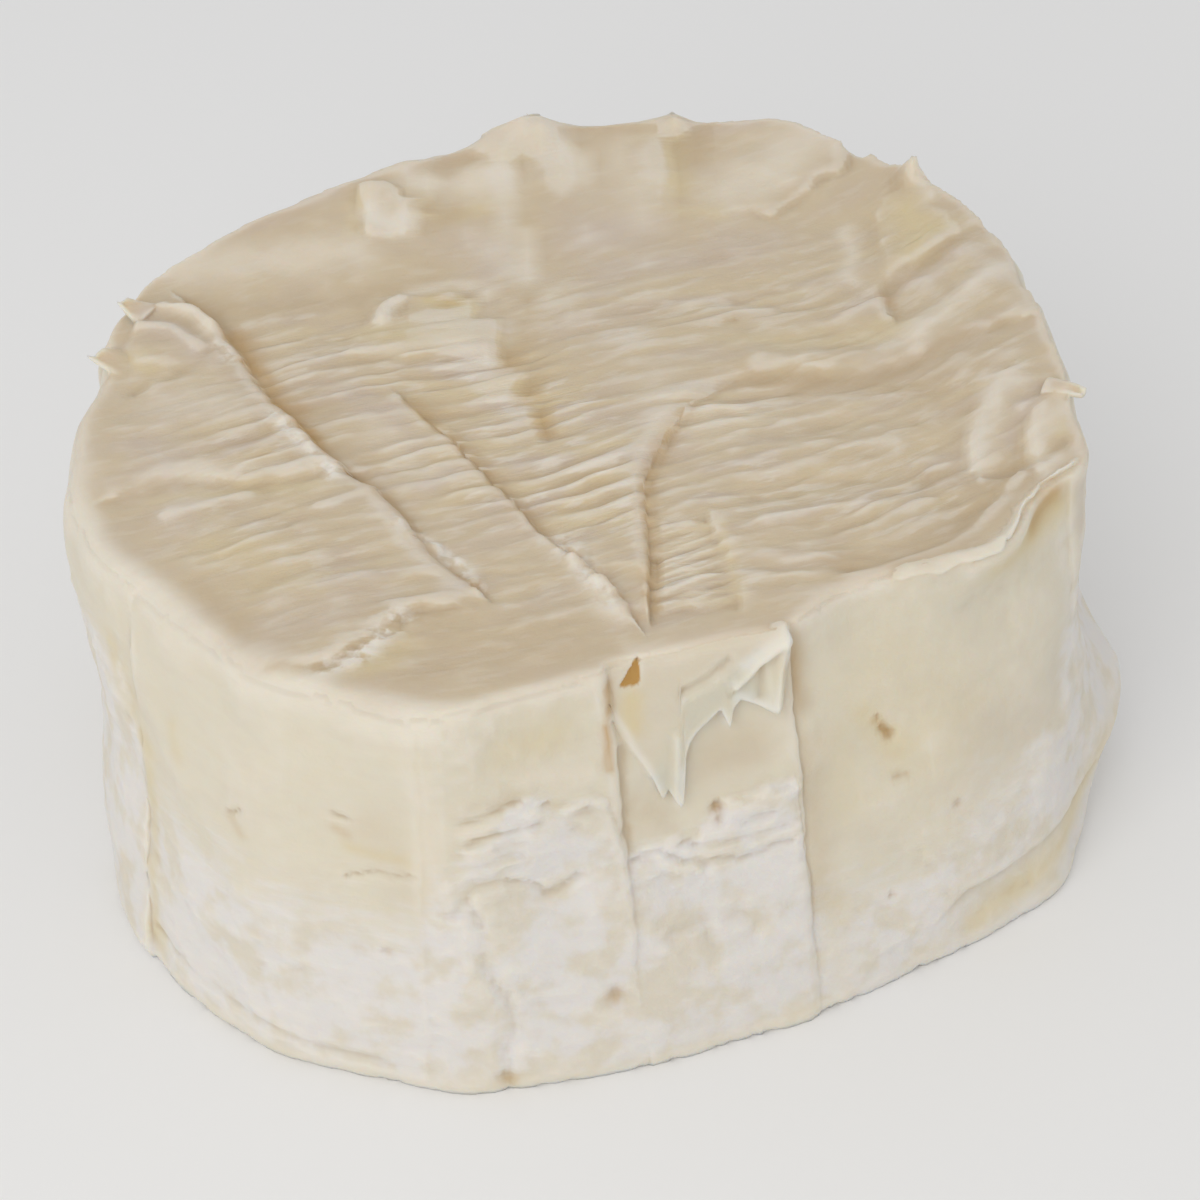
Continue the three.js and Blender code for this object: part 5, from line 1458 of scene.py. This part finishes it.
# %% Patches of the side
# for each kind: strength, half width, run of azimuth and height
SIDE_PATCHES = {
    "pale": [
        (0.5, 1.2, [(-108.6, 32), (-107.8, 12), (-107, 4)]),
        (0.8, 0.6, [(-104.6, 27.4), (-100.5, 27.7), (-97, 27.4)]),
        (0.7, 0.8, [(-99, 31), (-96, 30.4), (-92, 29.6)]),
        (0.8, 0.3, [(-69.9, 36.2), (-69.5, 32)]),
        (0.6, 3, [(-44, 15), (-38, 11), (-33, 9)]),
    ],
    "yellow": [
        (0.8, 1.5, [(-146.2, 3), (-145.8, 12), (-146.4, 23)]),
        (0.7, 1.6, [(-152, 31), (-150, 26)]),
        (0.5, 0.8, [(-140, 28.5), (-139, 26)]),
        (0.6, 0.6, [(-117, 24.4), (-110.4, 24.2)]),
        (0.5, 1.8, [(-100, 34), (-96, 34)]),
        (0.35, 1.5, [(-104.6, 22), (-104, 19)]),
        (0.9, 1.2, [(-86.6, 35), (-87.2, 32.6)]),
        (0.4, 1.6, [(-63, 10), (-63, 3)]),
        (0.6, 2, [(-56.5, 27.5), (-52, 23)]),
        (0.35, 2.4, [(-60, 26), (-60, 20)]),
        (0.3, 6, [(-54, 30), (-46, 24)]),
        (1, 2, [(-37, 37), (-31, 36.4), (-24.5, 36.8)]),
        (0.9, 2.2, [(-44, 2.6), (-34, 4), (-22, 6.6), (-12, 7.6)]),
        (0.6, 0.9, [(-140, 0.8), (-120, 0.8), (-100, 0.8), (-80, 1), (-66, 1.2)]),
    ],
    "mauve": [
        (0.5, 3.5, [(-158, 8), (-158, 28)]),
        (0.6, 1.2, [(-19.6, 37), (-18.6, 30), (-17, 20), (-15, 14)]),
        (0.3, 3.5, [(-40, 21), (-31, 19)]),
    ],
    # tan: painted shade along cracks, beside seams and in the recess under the skin
    "tan": [
        (0.25, 2.5, [(-114, 27), (-111, 22)]),
        (0.4, 1, [(-104.4, 28.8), (-100, 29.3)]),
        (0.4, 0.8, [(-105, 25.4), (-100, 25.2)]),
        (0.4, 0.7, [(-97.6, 18.8), (-95, 18.8)]),
        (0.5, 2.4, [(-77.5, 27.4), (-72.5, 28.4)]),
        (0.4, 1.5, [(-87.5, 25), (-84.5, 24)]),
        (0.35, 1.6, [(-83, 14), (-80, 12.4)]),
        (0.35, 1.6, [(-76, 13.4), (-73, 11.4)]),
        (0.8, 1.4, [(-65.6, 36.5), (-65.6, 31)]),
        (0.45, 1.6, [(-64.6, 27), (-64.2, 12)]),
    ],
    # white: the fourth and fifth strokes, on the fold ridge of the skin and the lit facet below it,
    # are painted highlight; the rest are pale torn edges
    "white": [
        (0.8, 0.4, [(-89, 34), (-87.4, 31.6), (-85.6, 29), (-84.2, 26.6)]),
        (0.9, 0.5, [(-81.2, 28), (-81.8, 24.6)]),
        (0.7, 0.35, [(-80, 30.4), (-75.8, 32.4), (-74.9, 30.6)]),
        (0.9, 0.6, [(-73.6, 33.4), (-69.6, 32)]),
        (0.9, 0.6, [(-72.5, 36.2), (-67.3, 38), (-67.4, 36.2)]),
        (0.55, 1.4, [(-23.4, 33), (-22.6, 26), (-21.6, 20)]),
        (0.6, 1.1, [(-47, 6), (-41, 8)]),
    ],
    # warm: painted warm shade in cracks, seams, holes and the recess under the lip
    "warm_shade": [
        (0.3, 0.5, [(-130.4, 24), (-129.2, 22.6)]),
        (0.35, 0.5, [(-118.4, 26), (-117.2, 25.6)]),
        (0.8, 0.4, [(-89.8, 36.8), (-89.6, 34.6)]),
        (0.9, 0.35, [(-90.1, 33.8), (-89.9, 29.8)]),
        (0.25, 0.9, [(-66, 35.5), (-65.8, 32.5)]),
        (0.5, 0.45, [(-54.9, 26.4), (-53.2, 24.6)]),
        (0.8, 1.2, [(-29, 37), (-26, 37.7), (-24, 37.9)]),
    ],
}


# tan is painted shade and warm is painted warm shade; pale and white are partly painted light
PAINT_KINDS = ("pale", "yellow", "mauve", "tan", "white", "warm_shade")


def paint_patches(patches, a, b, scale, wander):
    """The strongest patch of each kind at every corner."""
    painted = {kind: np.zeros(point_count) for kind in PAINT_KINDS}
    drift_a = wander * lumps(a / 2.4, b / 1.8, 101)
    drift_b = 0.8 * wander * lumps(a / 2.4, b / 1.8, 103)
    for kind, strokes in patches.items():
        for strength, half, run in strokes:
            share = min(1.0, 0.7 * half)
            away = run_distance(stretched(run, scale), a + share * drift_a, b + share * drift_b)
            painted[kind] = np.maximum(painted[kind], strength * bell(away, half))
    return painted


top_paint = paint_patches(TOP_PATCHES, x, y, 1.0, 0.9)
side_paint = paint_patches(SIDE_PATCHES, azimuth * ARC, z, ARC, 0.35)
paint = {kind: upper * top_paint[kind] + (1 - upper) * side_paint[kind] for kind in top_paint}
paint["white"] = np.maximum(paint["white"], 0.45 * on_lip * smooth_step(-44, -34, azimuth))
crumbly = crumbly_share(x, y) * upper
shoulder = smooth_step(0.8, -1.4, inside_rim(x, y)) * smooth_step(10, -5, y)
shoulder = shoulder * np.clip(3 * rolled[:, 0], 0, 1)
counts = [sum(map(len, table.values())) for table in (TOP_PATCHES, SIDE_PATCHES)]
print(counts[0], "patches on the top,", counts[1], "on the side")

# %% Keep them on the mesh
def keep_attribute(name, values):
    """Writes one value, or one set of three, for each corner of the wheel."""
    kind = "FLOAT" if values.ndim == 1 else "FLOAT_VECTOR"
    attribute = wheel.data.attributes.new(name, kind, "POINT")
    attribute.data.foreach_set("value" if values.ndim == 1 else "vector", values.ravel())


# all painted warm shade in one attribute
paint["warm_shade"] = np.clip(warm_shade + paint["warm_shade"], 0, WARM_SHADE_MOST)
attributes = {
    "lay": lay, "lined": lined, "rind": rind, "upper": upper * (1 - shoulder),
    "skin": on_skin, "crumbly": crumbly, "fine_hollow": fine_hollow,
    "broad_hollow": broad_hollow, "warm_shade": paint.pop("warm_shade"),
}
attributes.update(paint)
for name, values in attributes.items():
    keep_attribute(name, values)
print(len(wheel.data.attributes), "attributes on the mesh")

# %% [markdown]
# ## The finish
#
# Ripe paste is cream-coloured, slightly see-through and slightly fatty. Light goes in and
# comes out warmer; here the warm shade in hollows, crevices and holes and the pale highlight
# on thin edges and crests are painted into the colour. The rind is whiter, cooler and quite
# matt. Streaks of the knife are drawn along its path by stretching a noise pattern over the
# painted direction.

# %% Node helpers
def make_group(name, vector, outputs):
    """A group with one vector in and named numbers out, and its in and out nodes."""
    group = bpy.data.node_groups.new(name, "ShaderNodeTree")
    group.interface.new_socket(name=vector, in_out="INPUT", socket_type="NodeSocketVector")
    for socket in outputs:
        group.interface.new_socket(name=socket, in_out="OUTPUT", socket_type="NodeSocketFloat")
    return group, group.nodes.new("NodeGroupInput"), group.nodes.new("NodeGroupOutput")


def wire(tree, source, target):
    """Links a socket, or sets a plain value."""
    if isinstance(source, bpy.types.NodeSocket):
        tree.links.new(source, target)
    else:
        target.default_value = source


def math_node(tree, operation, *values):
    node = tree.nodes.new("ShaderNodeMath")
    node.operation = operation
    for value, socket in zip(values, node.inputs):
        wire(tree, value, socket)
    return node.outputs[0]


def mix_colour(tree, share, first, second):
    node = tree.nodes.new("ShaderNodeMix")
    node.data_type = "RGBA"
    wire(tree, share, node.inputs["Factor"])
    wire(tree, first, node.inputs["A"])
    wire(tree, second, node.inputs["B"])
    return node.outputs["Result"]


def ramp(tree, value, low, high):
    """0 below low, 1 above high, smooth between."""
    node = tree.nodes.new("ShaderNodeMapRange")
    node.interpolation_type = "SMOOTHSTEP"
    wire(tree, value, node.inputs["Value"])
    wire(tree, low, node.inputs["From Min"])
    wire(tree, high, node.inputs["From Max"])
    return node.outputs["Result"]


def noise(tree, vector, scale, detail, seed_shift=(0.0, 0.0, 0.0), stretch=(1.0, 1.0, 1.0)):
    mapping = tree.nodes.new("ShaderNodeMapping")
    wire(tree, vector, mapping.inputs["Vector"])
    mapping.inputs["Location"].default_value = seed_shift
    mapping.inputs["Scale"].default_value = stretch
    node = tree.nodes.new("ShaderNodeTexNoise")
    node.inputs["Scale"].default_value = scale
    node.inputs["Detail"].default_value = detail
    wire(tree, mapping.outputs["Vector"], node.inputs["Vector"])
    return node.outputs["Fac"]


def read_attribute(tree, name, output="Fac"):
    node = tree.nodes.new("ShaderNodeAttribute")
    node.attribute_name = name
    return node.outputs[output]


# %% Group: streaks of the knife
# detail, shift and stretch of each pattern
STREAKS = {
    "Broad": (3.0, (3.1, 0.0, 0.0), (0.13, 0.32, 1.0)),
    "Fine": (3.0, (0.0, 7.7, 0.0), (0.24, 0.95, 1.0)),
    "Hair": (2.0, (5.0, 2.0, 0.0), (0.5, 3.2, 1.0)),
}
streaks, streaks_in, streaks_out = make_group("knife streaks", "Lay", STREAKS)
for name, (detail, shift, stretch) in STREAKS.items():
    streak = noise(streaks, streaks_in.outputs["Lay"], 1.0, detail, shift, stretch)
    wire(streaks, streak, streaks_out.inputs[name])
print("group", streaks.name, "with", len(streaks.nodes), "nodes")

# %% Group: felt of the rind
# scale and shift of each pattern
FELTS = {
    "Patches": (260.0, (0.0, 0.0, 0.0)),
    "Crumbs": (700.0, (0.0, 0.0, 0.0)),
    "Felt": (2200.0, (0.01, 0.0, 0.0)),
}
felt_group, felt_in, felt_out = make_group("rind felt", "Place", FELTS)
for name, (scale, shift) in FELTS.items():
    lump = noise(felt_group, felt_in.outputs["Place"], scale, 3.0, shift)
    wire(felt_group, lump, felt_out.inputs[name])
print("group", felt_group.name, "with", len(felt_group.nodes), "nodes")

# %% Colours
COLOURS = {
    "top paste": (0.612, 0.508, 0.362, 1.0),
    "side paste": (0.715, 0.66, 0.535, 1.0),
    "skin paste": (0.67, 0.605, 0.485, 1.0),
    "white streak": (0.73, 0.665, 0.57, 1.0),
    "mauve streak": (0.575, 0.48, 0.395, 1.0),
    "yellow streak": (0.66, 0.55, 0.365, 1.0),
    # pale paste, and painted light on facets and curl crests that face the lamp
    "pale and lit patch": (0.76, 0.69, 0.575, 1.0),
    "yellow patch": (0.69, 0.58, 0.345, 1.0),
    "mauve patch": (0.60, 0.51, 0.435, 1.0),
    # painted shade in grooves, under lips and along steps
    "painted shade patch": (0.53, 0.41, 0.265, 1.0),
    "rind": (0.735, 0.705, 0.67, 1.0),
    "thin rind": (0.69, 0.636, 0.535, 1.0),
    # painted warm shade for crevices, holes, seams and the recess under the lip
    "deep": (0.48, 0.265, 0.06, 1.0),
    # painted shade for hollows
    "hollow": (0.52, 0.395, 0.25, 1.0),
    # pale thin edges, and painted highlight on crests and lit ridges
    "thin edge and highlight": (0.79, 0.745, 0.67, 1.0),
}
print(len(COLOURS), "colours")

# %% The cheese
cheese = bpy.data.materials.new("ripe cheese")
cheese.use_nodes = True
tree = cheese.node_tree
shader = tree.nodes["Principled BSDF"]

painted = {
    name: read_attribute(tree, name)
    for name in ("lined", "rind", "upper", "skin", "fine_hollow", "broad_hollow",
                 "warm_shade", "pale", "yellow", "mauve", "tan", "white", "crumbly")
}
streak_node = tree.nodes.new("ShaderNodeGroup")
streak_node.node_tree = streaks
wire(tree, read_attribute(tree, "lay", "Vector"), streak_node.inputs["Lay"])
broad_streak, fine_streak, hair_streak = (streak_node.outputs[name] for name in STREAKS)
coordinates = tree.nodes.new("ShaderNodeTexCoord")
felt_node = tree.nodes.new("ShaderNodeGroup")
felt_node.node_tree = felt_group
wire(tree, coordinates.outputs["Object"], felt_node.inputs["Place"])
patches, crumbs, felt = (felt_node.outputs[name] for name in FELTS)


def times(first, second):
    return math_node(tree, "MULTIPLY", first, second)


def sloped(value, slope, start):
    """The start plus slope times the value."""
    return math_node(tree, "MULTIPLY_ADD", value, slope, start)


def streak_share(streak, low, high, strength):
    """Where streaks pass from one level to another, as far as the spot is lined."""
    return times(times(ramp(tree, streak, low, high), painted["lined"]), strength)


paste = mix_colour(tree, painted["upper"], COLOURS["side paste"], COLOURS["top paste"])
paste = mix_colour(tree, times(painted["skin"], 0.9), paste, COLOURS["skin paste"])
layers = [
    (streak_share(broad_streak, 0.5, 0.64, 0.85), "mauve streak"),
    (streak_share(broad_streak, 0.5, 0.36, 0.75), "yellow streak"),
    (streak_share(fine_streak, 0.52, 0.66, 0.8), "white streak"),
    (times(painted["mauve"], 0.8), "mauve patch"),
    (times(painted["yellow"], 0.8), "yellow patch"),
    # tan strokes are painted shade; pale and white strokes are partly painted light
    (times(painted["tan"], 0.75), "painted shade patch"),
    (times(painted["pale"], 0.85), "pale and lit patch"),
    (times(painted["white"], 0.85), "thin edge and highlight"),
    (times(painted["crumbly"], ramp(tree, crumbs, 0.4, 0.55)), "thin edge and highlight"),
]
for share, colour in layers:
    paste = mix_colour(tree, share, paste, COLOURS[colour])

ragged_rind = math_node(tree, "ADD", painted["rind"], sloped(fine_streak, 2.4, -1.2))
# no rind colour where the painted shade of the tan strokes lies, nor on yellow
rind_share = times(ramp(tree, ragged_rind, -1.0, 1.0), sloped(painted["tan"], -0.7, 1.0))
rind_share = times(rind_share, sloped(painted["yellow"], -0.9, 1.0))
rind_patches = ramp(tree, patches, 0.36, 0.56)
rind_colour = mix_colour(tree, rind_patches, COLOURS["thin rind"], COLOURS["rind"])
surface = mix_colour(tree, rind_share, paste, rind_colour)

# painted highlight on crests, where the surface stands above its smoothed copy
crest = ramp(tree, painted["fine_hollow"], 0.01, -0.13)
surface = mix_colour(tree, times(crest, 0.45), surface, COLOURS["thin edge and highlight"])
# painted shade in fine and broad hollows, weaker on rind and pale paste
bare = sloped(rind_share, -0.7, 1.0)
bare = times(bare, sloped(painted["pale"], -0.7, 1.0))
fine_hollow_shade = times(ramp(tree, painted["fine_hollow"], 0.01, 0.2), 0.5)
broad_hollow_shade = times(ramp(tree, painted["broad_hollow"], 0.15, 1.1), 0.25)
hollow = math_node(tree, "MINIMUM", times(math_node(tree, "ADD", fine_hollow_shade, broad_hollow_shade), bare), 0.8)
surface = mix_colour(tree, hollow, surface, COLOURS["hollow"])
# painted warm shade in crevices, holes, seams and under the lip
warm_shade_share = math_node(tree, "MINIMUM", times(painted["warm_shade"], 0.7), 0.95)
surface = mix_colour(tree, warm_shade_share, surface, COLOURS["deep"])
wire(tree, surface, shader.inputs["Base Color"])

roughness = sloped(rind_share, 0.3, 0.46)
roughness = sloped(felt, 0.14, roughness)
wire(tree, roughness, shader.inputs["Roughness"])

streak_height = times(sloped(hair_streak, 0.3, fine_streak), painted["lined"])
felt_height = sloped(felt, 0.35, patches)
felt_height = sloped(times(crumbs, rind_share), 1.2, felt_height)
bump = tree.nodes.new("ShaderNodeBump")
bump.inputs["Strength"].default_value = 0.5
bump.inputs["Distance"].default_value = 0.0004
wire(tree, sloped(felt_height, 0.5, streak_height), bump.inputs["Height"])
wire(tree, bump.outputs["Normal"], shader.inputs["Normal"])

SHADER_VALUES = {
    "Subsurface Weight": 0.55, "Subsurface Radius": (1.0, 0.7, 0.45),
    "Subsurface Scale": 0.0018, "IOR": 1.42, "Specular IOR Level": 0.4,
}
for name, value in SHADER_VALUES.items():
    shader.inputs[name].default_value = value
wheel.data.materials.clear()
wheel.data.materials.append(cheese)
for mark in marks:
    bpy.data.materials.remove(mark)
wheel.data.polygons.foreach_set("material_index", [0] * len(wheel.data.polygons))
wheel.data.polygons.foreach_set("use_smooth", [True] * len(wheel.data.polygons))
print("finish with", len(tree.nodes), "nodes")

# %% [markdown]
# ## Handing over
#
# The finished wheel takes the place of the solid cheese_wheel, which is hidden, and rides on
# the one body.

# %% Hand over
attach(wheel, "root")
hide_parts("cheese_wheel")
